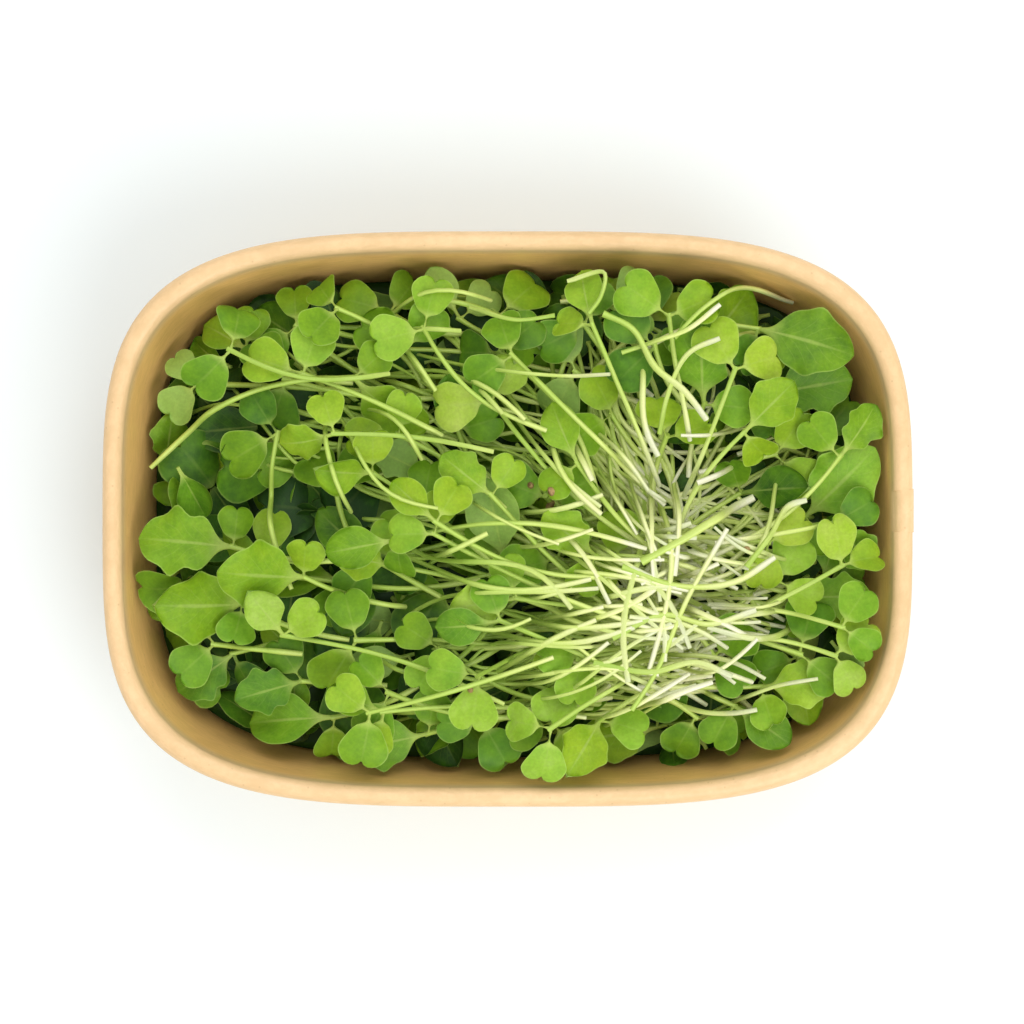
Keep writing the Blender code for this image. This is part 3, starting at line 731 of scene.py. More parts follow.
def fine_blade(leaf, rows, columns, tone=0.5, pale=0.0):
    """Closed thin blade of the same form: vertices, faces, marks along and across, shades."""
    kind, length, stalk, form, way, pitch, roll, place = leaf
    phase = form["phase"]
    path = smooth_path(fine_knots(kind, length, stalk, phase), rows)
    path[:, 1] = np.maximum(path[:, 1], 0.004 * length)
    share = np.linspace(-1, 1, columns)
    share = np.sign(share) * np.abs(share) ** 0.9
    edge, half, mid = (path[:, i : i + 1] for i in range(3))
    along = mid + (edge - mid) * np.abs(share)
    across = half * share
    height = relief(along, across, length, form) + form["rise"] * stalk
    fullness = np.clip(along / length, 0, 1)
    frill = FRILL * length * np.sin(17 * along / length + 5 * phase) * share**4
    curl = CURL * length * math.sin(3.7 * phase + 0.6) * np.abs(share) ** 3
    twist = TWIST * math.sin(5.3 * phase + 1.1) * across * fullness
    crease = (0.0 if kind == "heart" else CREASE) * (1 + math.sin(7.1 * phase)) * np.abs(across)
    bends = (frill + curl + twist + crease) * fullness
    blade = np.clip(along / length / 0.18, 0, 1)
    thick = FINE_THICKNESS * (1 - 0.6 * share**2) * blade
    roundness = np.sqrt(np.maximum(1 - 0.9 * share**2, 0.1))
    thick = thick + (1 - blade) * STALK_THICKNESS * roundness
    rib = RIB_DEPTH * np.exp(-((across / RIB_HALF_WIDTH) ** 2)) * blade * (1 - 0.75 * fullness)
    for strength in BEND_STRENGTHS:
        bent = height + strength * bends
        top, low = (
            np.stack([along + stalk, across, level], axis=2).reshape(-1, 3)
            for level in (bent + thick / 2, bent - thick / 2 - rib)
        )
        both = np.concatenate([turned(top, way, pitch, roll), turned(low, way, pitch, roll)])
        vertices = both + place
        if vertices[:, 2].max() < HIGHEST:
            break
    count = rows * columns
    grid = np.arange(count).reshape(rows, columns)
    quads = np.stack([grid[:-1, :-1], grid[1:, :-1], grid[1:, 1:], grid[:-1, 1:]], axis=2)
    quads = quads.reshape(-1, 4)
    split = np.concatenate([quads[:, :3], quads[:, [0, 2, 3]]])
    rim = np.concatenate([grid[:, 0], grid[-1, 1:], grid[-2::-1, -1], grid[0, -2:0:-1]])
    after = np.roll(rim, -1)
    sides = np.stack([rim, rim + count, after + count, rim, after + count, after], axis=1)
    faces = np.concatenate([split[:, ::-1], split + count, sides.reshape(-1, 3)])
    marks = np.stack([along / length, np.broadcast_to(share, along.shape) / 2 + 0.5], axis=2)
    marks = marks.reshape(-1, 2)
    shades = np.empty((2 * count, 4))
    shades[:, 0] = tone
    shades[:, 1] = phase / 6.28
    shades[:count, 2] = pale
    shades[count:, 2] = 1
    shades[:, 3] = SEED_LEAF_RIBS if kind == "heart" else 1.0
    return vertices, faces, np.concatenate([marks, marks]), shades


def linked(name, data):
    """Object of the given data, linked to the scene."""
    thing = bpy.data.objects.new(name, data)
    bpy.context.scene.collection.objects.link(thing)
    return thing


def mesh_of(name, parts, materials):
    """One mesh object, in metres, from parts of vertices, faces, marks and shades."""
    vertices = np.concatenate([part[0] for part in parts]) * MM
    marks = np.concatenate([part[2] for part in parts])
    shades = np.concatenate([part[3] for part in parts])
    faces, start = [], 0
    for part in parts:
        faces += (np.asarray(part[1]) + start).tolist()
        start += len(part[0])
    mesh = bpy.data.meshes.new(name)
    mesh.from_pydata(vertices.tolist(), [], faces)
    corners = np.empty(len(mesh.loops), dtype=np.int32)
    mesh.loops.foreach_get("vertex_index", corners)
    layer = mesh.uv_layers.new(name="marks")
    layer.data.foreach_set("uv", marks[corners].astype(np.float32).ravel())
    shade = mesh.attributes.new("shade", "FLOAT_VECTOR", "POINT")
    shade.data.foreach_set("vector", shades[:, :3].astype(np.float32).ravel())
    ribs = mesh.attributes.new("ribs", "FLOAT", "POINT")
    ribs.data.foreach_set("value", shades[:, 3].astype(np.float32))
    for material in materials:
        mesh.materials.append(material)
    mesh.shade_smooth()
    mesh.set_sharp_from_angle(angle=RIM_ANGLE)
    return linked(name, mesh)


# Geometry node trees


def add_node(tree, kind, links=(), **settings):
    """Node with its settings and its incoming links, given as (socket, source)."""
    node = tree.nodes.new(kind)
    for name, value in settings.items():
        setattr(node, name, value)
    for socket, source in links:
        if hasattr(source, "is_output"):
            tree.links.new(source, node.inputs[socket])
        else:
            node.inputs[socket].default_value = source
    return node


def new_tree(name, sockets):
    """Geometry node tree that takes a geometry and more sockets, and what it is given."""
    tree = bpy.data.node_groups.new(name, "GeometryNodeTree")
    for label, kind in (("Geometry", "Geometry"), *sockets):
        tree.interface.new_socket(label, in_out="INPUT", socket_type="NodeSocket" + kind)
    tree.interface.new_socket("Geometry", in_out="OUTPUT", socket_type="NodeSocketGeometry")
    return tree, add_node(tree, "NodeGroupInput").outputs


def stored(tree, geometry, name, value, domain="POINT"):
    """Geometry with a value kept on it under a name."""
    links = [("Geometry", geometry), ("Name", name), ("Value", value)]
    node = add_node(
        tree, "GeometryNodeStoreNamedAttribute", links, data_type="FLOAT", domain=domain
    )
    return node.outputs["Geometry"]


def kept_value(tree, name, kind):
    """Value kept on the points under a name."""
    node = add_node(tree, "GeometryNodeInputNamedAttribute", [("Name", name)], data_type=kind)
    return node.outputs["Attribute"]


def hand_out(tree, geometry, material):
    """Ends a tree with its geometry made real and dressed in its material."""
    real = add_node(tree, "GeometryNodeRealizeInstances", [("Geometry", geometry)])
    links = [("Geometry", real.outputs["Geometry"]), ("Material", material)]
    dressed = add_node(tree, "GeometryNodeSetMaterial", links)
    add_node(tree, "NodeGroupOutput", [("Geometry", dressed.outputs["Geometry"])])


def stem_tree():
    """Round stem swept along a curve, with its place along it kept for the shader."""
    sockets = (("Radius", "Float"), ("Sides", "Int"), ("Material", "Material"))
    tree, given = new_tree("stem_along_path", sockets)
    place = add_node(tree, "GeometryNodeSplineParameter").outputs["Factor"]
    kept = stored(tree, given["Geometry"], "along", place)
    number = add_node(tree, "GeometryNodeInputIndex").outputs["Index"]
    links = [("ID", number), ("Seed", SEED)]
    chance = add_node(tree, "FunctionNodeRandomValue", links, data_type="FLOAT")
    toned = stored(tree, kept, "tone", chance.outputs["Value"], "CURVE")
    links = [("Resolution", given["Sides"]), ("Radius", given["Radius"])]
    ring = add_node(tree, "GeometryNodeCurvePrimitiveCircle", links)
    around_ring = stored(tree, ring.outputs["Curve"], "around", place)
    links = [("Curve", toned), ("Profile Curve", around_ring), ("Fill Caps", True)]
    swept = add_node(tree, "GeometryNodeCurveToMesh", links)
    if "Scale" in swept.inputs:
        size = add_node(tree, "GeometryNodeInputRadius")
        tree.links.new(size.outputs["Radius"], swept.inputs["Scale"])
    hand_out(tree, swept.outputs["Mesh"], given["Material"])
    return tree


def scatter_tree():
    """Leaves from a collection of shapes set on points, turned and sized by the points."""
    sockets = (("Shapes", "Collection"), ("Material", "Material"))
    tree, given = new_tree("scatter_leaves", sockets)
    links = [
        ("Collection", given["Shapes"]),
        ("Separate Children", True),
        ("Reset Children", True),
    ]
    shapes = add_node(tree, "GeometryNodeCollectionInfo", links)
    turn = kept_value(tree, "turn", "FLOAT_VECTOR")
    euler = add_node(tree, "FunctionNodeEulerToRotation", [("Euler", turn)])
    links = [
        ("Points", given["Geometry"]),
        ("Instance", shapes.outputs["Instances"]),
        ("Pick Instance", True),
        ("Instance Index", kept_value(tree, "which", "INT")),
        ("Rotation", euler.outputs["Rotation"]),
        ("Scale", kept_value(tree, "size", "FLOAT")),
    ]
    placed = add_node(tree, "GeometryNodeInstanceOnPoints", links)
    hand_out(tree, placed.outputs["Instances"], given["Material"])
    return tree


def grown(thing, tree, inputs):
    """Mesh that a node tree makes from an object, with its inputs set by name."""
    modifier = thing.modifiers.new(tree.name, "NODES")
    modifier.node_group = tree
    for item in tree.interface.items_tree:
        if item.item_type == "SOCKET" and item.in_out == "INPUT" and item.name in inputs:
            modifier[item.identifier] = inputs[item.name]
    graph = bpy.context.evaluated_depsgraph_get()
    mesh = bpy.data.meshes.new_from_object(thing.evaluated_get(graph))
    thing.modifiers.remove(modifier)
    return mesh


def stems_mesh(name, routes, radii, tree, material, points=34, sides=10):
    """Mesh of one or more stems along their routes."""
    curve = bpy.data.curves.new(name, "CURVE")
    curve.dimensions = "3D"
    share = np.linspace(0, 1, points)
    swell = 0.16 * np.exp(-(((share - 1) / 0.05) ** 2)) - 0.14 * np.exp(-((share / 0.06) ** 2))
    taper = 1.04 - 0.16 * share
    for route, radius in zip(routes, radii):
        path = np.concatenate([smooth_path(route, points) * MM, np.ones((points, 1))], axis=1)
        spline = curve.splines.new("POLY")
        spline.points.add(points - 1)
        spline.points.foreach_set("co", path.astype(np.float32).ravel())
        uneven = 0.05 * np.sin(9 * share + route[0][0]) + 0.03 * np.sin(23 * share + route[0][1])
        widths = radius * (taper + swell + uneven)
        spline.points.foreach_set("radius", widths.astype(np.float32))
    thing = linked(name, curve)
    inputs = {"Radius": FINE_STEM_RADIUS * MM, "Sides": sides, "Material": material}
    mesh = grown(thing, tree, inputs)
    bpy.data.objects.remove(thing)
    bpy.data.curves.remove(curve)
    mesh.shade_smooth()
    return mesh


# Materials


def new_group(name, outputs):
    """Shader node group with its outputs, given as (name, kind)."""
    tree = bpy.data.node_groups.new(name, "ShaderNodeTree")
    for label, kind in outputs:
        tree.interface.new_socket(label, in_out="OUTPUT", socket_type="NodeSocket" + kind)
    return tree


def math_node(tree, operation, *values, clamp=False):
    """Result of a sum on one, two or three values."""
    links = enumerate(values)
    node = add_node(tree, "ShaderNodeMath", links, operation=operation, use_clamp=clamp)
    return node.outputs[0]


def times(tree, value, factor):
    return math_node(tree, "MULTIPLY", value, factor)


def scaled(tree, value, factor, offset):
    return math_node(tree, "MULTIPLY_ADD", value, factor, offset)


def rest_of(tree, share):
    """What is left of one after a share."""
    return math_node(tree, "SUBTRACT", 1.0, share)


def mix_colour(tree, share, low, high, blend="MIX"):
    """Mix of two colours, each given as a link or as red, green and blue."""
    low, high = ((*c, 1) if isinstance(c, tuple) else c for c in (low, high))
    links = ((0, share), (6, low), (7, high))
    node = add_node(tree, "ShaderNodeMix", links, data_type="RGBA", blend_type=blend)
    return node.outputs[2]


def tinted(tree, colour, tint):
    return mix_colour(tree, 1.0, colour, tint, "MULTIPLY")


def colour_ramp(tree, level, stops):
    """Colour at a level between stops of position and colour."""
    node = add_node(tree, "ShaderNodeValToRGB", [("Fac", level)])
    elements = node.color_ramp.elements
    for element, (position, colour) in zip(list(elements), (stops[0], stops[-1])):
        element.position, element.color = position, (*colour, 1)
    for position, colour in stops[1:-1]:
        elements.new(position).color = (*colour, 1)
    return node.outputs["Color"]


def fade(tree, value, start, end, low=0.0, high=1.0):
    """Smooth step of a value from one level to another."""
    links = [("Value", value), ("From Min", start), ("From Max", end)]
    links += [("To Min", low), ("To Max", high)]
    node = add_node(tree, "ShaderNodeMapRange", links, interpolation_type="SMOOTHSTEP")
    return node.outputs["Result"]


def noise(tree, scale, detail, roughness, place):
    links = [("Scale", scale), ("Detail", detail), ("Roughness", roughness), ("Vector", place)]
    return add_node(tree, "ShaderNodeTexNoise", links).outputs["Fac"]


def object_place(tree):
    return add_node(tree, "ShaderNodeTexCoord").outputs["Object"]


def attribute(tree, name, output="Fac"):
    """Value that the mesh holds under a name."""
    return add_node(tree, "ShaderNodeAttribute", attribute_name=name).outputs[output]


def axes_of(tree, vector):
    """The three numbers of a vector."""
    return add_node(tree, "ShaderNodeSeparateXYZ", [("Vector", vector)]).outputs


def leaf_group():
    """Colour, roughness and height of a leaf from its marks and tone."""
    outputs = [("Colour", "Color"), ("Roughness", "Float"), ("Height", "Float")]
    tree = new_group("leaf_surface", outputs)
    marks = axes_of(tree, add_node(tree, "ShaderNodeUVMap", uv_map="marks").outputs["UV"])
    along = marks["X"]
    side = math_node(tree, "ABSOLUTE", scaled(tree, marks["Y"], 2.0, -1.0))
    shade = axes_of(tree, attribute(tree, "shade", "Vector"))
    tone = shade["X"]
    place = object_place(tree)
    patch = noise(tree, 260.0, 4.0, 0.6, place)
    fine = noise(tree, 1500.0, 3.0, 0.6, place)
    level = math_node(tree, "ADD", tone, scaled(tree, patch, 0.5, -0.25), clamp=True)
    green = colour_ramp(tree, level, LEAF_GREENS)

    rib = rest_of(tree, fade(tree, side, 0.015, 0.085))
    rib = times(tree, rib, rest_of(tree, fade(tree, along, 0.45, 1.0, 0.0, 0.8)))
    bend = times(tree, math_node(tree, "POWER", side, 0.8), 0.42)
    wander = scaled(tree, patch, 0.10, -0.05)
    count = math_node(tree, "ADD", math_node(tree, "SUBTRACT", along, bend), wander)
    wave = math_node(tree, "FRACT", times(tree, count, 6.5))
    ridge = math_node(tree, "ABSOLUTE", math_node(tree, "SUBTRACT", wave, 0.5))
    vein = rest_of(tree, fade(tree, ridge, 0.015, 0.075))
    vein = times(tree, vein, rest_of(tree, fade(tree, side, 0.45, 0.95)))
    links = [("Vector", place), ("Scale", 900.0)]
    net = add_node(tree, "ShaderNodeTexVoronoi", links, feature="DISTANCE_TO_EDGE")
    mesh_line = rest_of(tree, fade(tree, net.outputs["Distance"], 0.0, 0.12))
    pale = math_node(tree, "MAXIMUM", times(tree, rib, 0.6), times(tree, vein, 0.16))
    pale = math_node(tree, "MAXIMUM", pale, times(tree, mesh_line, 0.05))
    pale = times(tree, pale, fade(tree, tone, -0.1, 0.4, 0.35, 1.0))
    pale = times(tree, pale, attribute(tree, "ribs"))
    lit = fade(tree, tone, -0.05, 0.42, 0.12, 1.0)
    edge = times(tree, fade(tree, side, 0.93, 1.0), times(tree, lit, 0.42))
    stalk = times(tree, rest_of(tree, fade(tree, along, -0.05, 0.22)), lit)

    hue = mix_colour(tree, shade["Y"], (1.05, 1.0, 0.72), (0.86, 0.98, 1.20))
    under = mix_colour(tree, patch, (0.340, 0.540, 0.120), (0.480, 0.660, 0.190))
    colour = mix_colour(tree, times(tree, shade["Z"], 0.8), tinted(tree, green, hue), under)
    colour = mix_colour(tree, pale, colour, (0.500, 0.660, 0.140))
    colour = mix_colour(tree, edge, colour, (0.600, 0.780, 0.200))
    colour = mix_colour(tree, times(tree, stalk, 0.85), colour, (0.560, 0.700, 0.160))
    grain = mix_colour(tree, fade(tree, fine, 0.3, 0.7), (0.93, 0.93, 0.93), (1.06, 1.06, 1.05))
    height = scaled(tree, pale, -0.55, times(tree, fine, 0.35))
    height = math_node(tree, "ADD", height, times(tree, patch, 0.9))
    rough = scaled(tree, fine, 0.18, 0.40)
    results = [("Colour", tinted(tree, colour, grain)), ("Roughness", rough), ("Height", height)]
    add_node(tree, "NodeGroupOutput", results)
    return tree


def stem_group():
    """Colour and height of a stem from its place between cut end and head."""
    tree = new_group("stem_surface", [("Colour", "Color"), ("Height", "Float")])
    place = object_place(tree)
    patch = noise(tree, 180.0, 3.0, 0.5, place)
    side = axes_of(tree, place)["X"]
    greener = math_node(tree, "SUBTRACT", 0.62, fade(tree, side, -0.020, 0.038, 0.0, 0.62))
    along = math_node(tree, "ADD", attribute(tree, "along"), greener)
    level = math_node(tree, "ADD", along, scaled(tree, patch, 0.5, -0.25), clamp=True)
    green = colour_ramp(tree, level, STEM_GREENS)
    tone = attribute(tree, "tone")
    wander = scaled(tree, patch, 5.0, times(tree, tone, 6.0))
    wave = math_node(tree, "SINE", scaled(tree, attribute(tree, "around"), 18.85, wander))
    grain = noise(tree, 2200.0, 2.0, 0.5, place)
    streak = scaled(tree, wave, 0.35, grain)
    lit = fade(tree, streak, 0.15, 0.85)
    colour = tinted(tree, green, mix_colour(tree, lit, (0.90, 0.92, 0.82), (1.06, 1.05, 1.05)))
    shade = mix_colour(tree, tone, (0.88, 0.92, 0.76), (1.07, 1.04, 1.02))
    results = [("Colour", tinted(tree, colour, shade)), ("Height", times(tree, streak, 0.5))]
    add_node(tree, "NodeGroupOutput", results)
    return tree


def fibre_group():
    """Kraft board: fibres, flecks and clouding, with painted shade and warm bounce light on the
    inner face below the rim.
    """
    tree = new_group("kraft_fibres", [("Colour", "Color"), ("Height", "Float")])
    tree.interface.new_socket("Base", in_out="INPUT", socket_type="NodeSocketColor")
    base = add_node(tree, "NodeGroupInput").outputs["Base"]
    place = object_place(tree)
    cloud = noise(tree, 55.0, 4.0, 0.6, place)
    fine = noise(tree, 1900.0, 4.0, 0.7, place)
    links = [("Vector", place), ("Scale", (260.0, 260.0, 1500.0))]
    long_way = add_node(tree, "ShaderNodeMapping", links).outputs["Vector"]
    fibre = noise(tree, 1.0, 4.0, 0.7, long_way)
    fleck = add_node(tree, "ShaderNodeTexVoronoi", [("Vector", place), ("Scale", 420.0)])
    spot = rest_of(tree, fade(tree, fleck.outputs["Distance"], 0.05, 0.13))
    clouded = fade(tree, cloud, 0.3, 0.75)
    clouds = mix_colour(tree, clouded, (0.965, 0.96, 0.945), (1.02, 1.02, 1.03))
    bright = fade(tree, fibre, 0.35, 0.7)
    threads = mix_colour(tree, bright, (0.93, 0.92, 0.89), (1.03, 1.03, 1.04))
    colour = tinted(tree, tinted(tree, base, clouds), threads)
    colour = mix_colour(tree, times(tree, spot, 0.25), colour, (0.40, 0.23, 0.10))
    # Painted shade and warm bounce light: below the rim the inner face is tinted redder and less
    # blue, in place of the light bounced between the kraft walls
    below_rim = fade(tree, axes_of(tree, place)["Z"], 0.0485, 0.0440)
    inward = axes_of(tree, attribute(tree, "shade", "Vector"))["X"]
    deep = mix_colour(tree, times(tree, below_rim, inward), (1, 1, 1), (1.20, 1.06, 0.70))
    height = math_node(tree, "ADD", times(tree, fine, 0.5), fibre)
    results = [("Colour", tinted(tree, colour, deep)), ("Height", height)]
    add_node(tree, "NodeGroupOutput", results)
    return tree


def husk_group():
    """Colour and height of the papery seed husks."""
    tree = new_group("husk_surface", [("Colour", "Color"), ("Height", "Float")])
    place = object_place(tree)
    patch = fade(tree, noise(tree, 900.0, 3.0, 0.6, place), 0.3, 0.7)
    colour = mix_colour(tree, patch, (0.20, 0.115, 0.040), (0.50, 0.34, 0.14))
    results = [("Colour", colour), ("Height", noise(tree, 3000.0, 2.0, 0.5, place))]
    add_node(tree, "NodeGroupOutput", results)
    return tree


def new_material(name, group, bump, depth, base=None, rough=0.5, specular=0.5, soft=0.0, coat=0.0):
    """Material whose colour and bump come from a surface group."""
    material = bpy.data.materials.new(name)
    material.use_nodes = True
    tree = material.node_tree
    shader = tree.nodes["Principled BSDF"]
    surface = add_node(tree, "ShaderNodeGroup", node_tree=group)
    if base:
        surface.inputs["Base"].default_value = (*base, 1)
    tree.links.new(surface.outputs["Colour"], shader.inputs["Base Color"])
    if "Roughness" in surface.outputs:
        tree.links.new(surface.outputs["Roughness"], shader.inputs["Roughness"])
    else:
        shader.inputs["Roughness"].default_value = rough
    links = [("Strength", bump), ("Distance", depth), ("Height", surface.outputs["Height"])]
    raised = add_node(tree, "ShaderNodeBump", links).outputs["Normal"]
    tree.links.new(raised, shader.inputs["Normal"])
    shader.inputs["Specular IOR Level"].default_value = specular
    if coat:
        shader.inputs["Coat Weight"].default_value = coat
        shader.inputs["Coat Roughness"].default_value = 0.22
    if soft:
        glow = tinted(tree, surface.outputs["Colour"], (1.25, 1.15, 0.75))
        links = [("Normal", raised), ("Color", glow)]
        through = add_node(tree, "ShaderNodeBsdfTranslucent", links)
        links = [("Fac", soft), (1, shader.outputs["BSDF"]), (2, through.outputs["BSDF"])]
        both = add_node(tree, "ShaderNodeMixShader", links)
        tree.links.new(both.outputs["Shader"], tree.nodes["Material Output"].inputs["Surface"])
    return material


# Tray


def sleeve_profile():
    """Closed profile of (inset, height, lap share), fine round the roll and the hem."""
    roll_height = TRAY_HEIGHT - ROLL_RADIUS
    angles = np.linspace(180, ROLL_OPEN_ANGLE, ROLL_STEPS)
    inner_radius = ROLL_RADIUS - BOARD

    def arc(radius, steps, lap):
        return [
            (
                -ROLL_RADIUS + radius * math.cos(math.radians(angle)),
                roll_height + radius * math.sin(math.radians(angle)),
                lap,
            )
            for angle in steps
        ]

    groove = BOARD + 2 * FIT_GAP
    fold = -FOOT_INSET - BOARD - groove
    foot = [(-0.25, 0), (-0.02, 0.12), (0.05, 0.4)]
    foot = [(-FOOT_INSET + inset, height, 1) for inset, height in foot]
    rings = np.linspace(3, roll_height - 2, WALL_RINGS)
    climb = [(-FOOT_INSET + WALL_SLOPE * z, z, 1) for z in rings]
    rings = np.linspace(roll_height - 2, 3, WALL_RINGS)
    descend = [(wall_inner(z), z, 0) for z in rings]
    hem = [
        (wall_inner(BOARD), BOARD, 0),
        (fold + WALL_SLOPE * BOARD, BOARD, 0),
        (fold + WALL_SLOPE * HEM_HEIGHT, HEM_HEIGHT, 0),
        (fold - BOARD + WALL_SLOPE * HEM_HEIGHT, HEM_HEIGHT, 0),
        (fold - BOARD, 0.2, 0),
        (fold - BOARD + 0.2, 0, 0),
    ]
    outer = arc(ROLL_RADIUS, angles[::-1], 1)
    outer[-1] = (*outer[-1][:2], 0)
    return foot + climb + arc(inner_radius, angles, 1) + outer + descend + hem


def fine_sleeve(materials):
    """Sleeve with its roll, hem and glued lap."""
    turns = [turn if turn < math.pi else turn - 2 * math.pi for turn in even_turns(WALL_STEPS)]
    start, end = lap_turn(LAP_FROM), lap_turn(LAP_TO)
    plan = [(turn, 1.0 if start < turn < end else 0.0) for turn in turns]
    plan = [row for row in plan if min(abs(row[0] - start), abs(row[0] - end)) > 0.004]
    for across, step in ((LAP_FROM, 1), (LAP_TO, -1)):
        plan += [(lap_turn(across), 0.0), (lap_turn(across + LAP_RAMP * step), 1.0)]
    plan = sorted(plan)
    profile = sleeve_profile()
    vertices, marks = [], []
    for index, (turn, lap) in enumerate(plan):
        along, across = power_direction(turn)
        buckle = sum(size * math.sin(waves * turn + phase) for size, waves, phase in WALL_SWAYS)
        for inset, height, share in profile:
            rise = math.sin(math.pi * clamp(height, 0, SWAY_HEIGHT) / SWAY_HEIGHT)
            reach = inset + LAP_STEP * lap * share + buckle * rise * 0.8
            x, y = (RIM_HALF_LENGTH + reach) * along, (RIM_HALF_WIDTH + reach) * across
            vertices.append((x, y, height))
            marks.append((index / len(plan), height / TRAY_HEIGHT))
    size, count = len(profile), len(plan)
    ring, step = np.meshgrid(np.arange(count), np.arange(size), indexing="ij")
    following, after = (ring + 1) % count, (step + 1) % size
    ring, following = ring * size, following * size
    corners = [ring + step, following + step, following + after, ring + after]
    faces = np.stack(corners, axis=2).reshape(-1, 4)
    shades = np.zeros((len(vertices), 4))
    # The first shade value marks the inner face, which gets the kraft's painted shade and warm
    # bounce light
    shades[:, 0] = [1 - share for _, _, share in profile] * count
    part = (np.array(vertices), faces, np.array(marks), shades)
    sleeve = mesh_of("kraft_sleeve", [part], materials)
    sleeve.data.set_sharp_from_angle(angle=SLEEVE_SHARP_ANGLE)
    return sleeve


# Greens


def clamp(value, low, high):
    return min(max(value, low), high)


def blurred(field, reach):
    """Field averaged over a square round each cell."""
    for axis in (0, 1):
        padding = [(reach + 1, reach) if side == axis else (0, 0) for side in (0, 1)]
        total = np.cumsum(np.pad(field, padding, mode="edge"), axis=axis)
        size = field.shape[axis]
        ahead = np.take(total, range(2 * reach + 1, 2 * reach + 1 + size), axis=axis)
        field = (ahead - np.take(total, range(size), axis=axis)) / (2 * reach + 1)
    return field


def surface_level(heap):
    """Mean height of what has been laid round each cell."""
    laid = heap.ceiling < NOTHING_OVER
    weight = blurred(laid.astype(float), LEVEL_REACH)
    return blurred(np.where(laid, heap.top, 0), LEVEL_REACH) / np.maximum(weight, 0.08)


def inside(x, y, margin):
    """Whether a place in plan is inside the rim's outline by a margin."""
    return outline_sum(x, y, -margin) < 1


def eased(share):
    """Share that starts and ends gently."""
    return share * share * (3 - 2 * share)


def running(values, reach, choose):
    """Highest or lowest of the values within a reach of each."""
    spans = [values[max(i - reach, 0) : i + reach + 1] for i in range(len(values))]
    return np.array([choose(span) for span in spans])


def smoothed(values, window, times_over):
    """Values averaged over a window, as often as given."""
    for _ in range(times_over):
        values = np.convolve(np.pad(values, 2, mode="edge"), window, mode="valid")
    return values


def bent_form(draw, kind, bends):
    """Form of a blade of the fill, with its bends drawn from wider ranges."""
    form = leaf_form(draw, kind)
    for bend, span in bends.items():
        form[bend] = draw.uniform(*span)
    return form


def hanging_move(heap, samples):
    """Move that brings samples under all that hangs over them and inside the sleeve."""
    move = np.array([0, 0, min(heap.drop(samples), 0)])
    move = move + inward_shift(samples + move)
    move[2] += min(heap.drop(samples + move), 0)
    return move


def bundle_leaves(draw, heap, route):
    """Leaves at the head of a bundle's stem, which bends down under what lies over it."""
    ending = route[-1] - route[-4]
    heading = math.atan2(ending[1], ending[0])
    kind = draw.choice(("pair", "pair", "oval", "lobed"))
    length = draw.uniform(8, 10.5) if kind == "pair" else draw.uniform(10, 15)
    found = []
    for outline, size, stalk, turn in leaf_set(draw, kind, length):
        form = bent_form(draw, outline, BUNDLE_BENDS)
        pitch, roll = draw.uniform(-0.2, 0.7), draw.uniform(-0.8, 0.8)
        found.append((outline, size, stalk, form, heading + turn, pitch, roll))
    samples = np.concatenate([fine_blade(leaf + (route[-1],), *CLOSE_GRID)[0] for leaf in found])
    move = hanging_move(heap, samples)
    leafy = move[2] > -SHALLOW_SINK and abs(move[:2]).max() < 3
    move = move if leafy else np.array([0, 0, -LEAFLESS_SINK])
    bend = np.clip(1 - np.arange(len(route))[::-1] / NECK_STATIONS, 0, 1)
    route += eased(bend)[:, None] * move
    if not leafy:
        return []
    heap.hang(samples + move)
    return [leaf + (route[-1],) for leaf in found]


def hung_leaves(draw, heap, level, count, kinds):
    """Leaves hung under the laid seedlings and under each other."""
    poses, tries = [], 0
    while len(poses) < count and tries < 6 * count:
        tries += 1
        along, across = power_direction(draw.uniform(0, 6.28))
        reach = draw.choice((draw.uniform(0.86, 0.97), math.sqrt(draw.random())))
        x = reach * along * (RIM_HALF_LENGTH - FILL_WALL_GAP)
        y = reach * across * (RIM_HALF_WIDTH - FILL_WALL_GAP)
        near = clamp(heap.value(level, x, y), core_height(x, y) + 3, FILL_CEILING)
        place = np.array([x, y, near])
        kind = draw.choice(kinds)
        length = {outline: draw.uniform(*span) for outline, span in FILL_LENGTHS.items()}[kind]
        way = draw.uniform(0, 6.28)
        pitch, roll = draw.uniform(-0.4, 0.8), draw.uniform(-0.9, 0.9)
        leaf = (kind, length, FILL_STALK, bent_form(draw, kind, FILL_BENDS), way, pitch, roll)
        samples = fine_blade(leaf + (place,), *CLOSE_GRID)[0]
        move = hanging_move(heap, samples)
        samples = samples + move
        if abs(move[:2]).max() > 6 or samples[:, 2].mean() < core_height(x, y) - 5:
            continue
        heap.hang(samples)
        poses.append(leaf + (place + move,))
    return poses


def bundle_stem(draw):
    """Plan of one stem of the bundles, from its cut end to its head."""
    choice, bundle = draw.random(), BUNDLES[-1]
    for row in BUNDLES:
        if choice < row[0]:
            bundle = row
            break
        choice -= row[0]
    _, x, y, spread_x, spread_y, facing, turn_spread = bundle
    share = np.linspace(0, 1, BUNDLE_POINTS)[:, None]
    while True:
        cut = np.array([draw.gauss(x, spread_x), draw.gauss(y, spread_y)])
        turn = math.radians(draw.gauss(facing, turn_spread))
        length = draw.uniform(*LOOSE_LENGTH)
        bow, twist = draw.gauss(0, LOOSE_BOW), draw.gauss(0, LOOSE_TWIST)
        way = np.array([math.cos(turn), math.sin(turn)])
        side = np.array([-way[1], way[0]])
        sway = bow * np.sin(math.pi * share) + twist * np.sin(2 * math.pi * share)
        plan = cut + length * (share * way + sway * side)
        if all(inside(*point, LOOSE_WALL_GAP) for point in plan):
            return plan


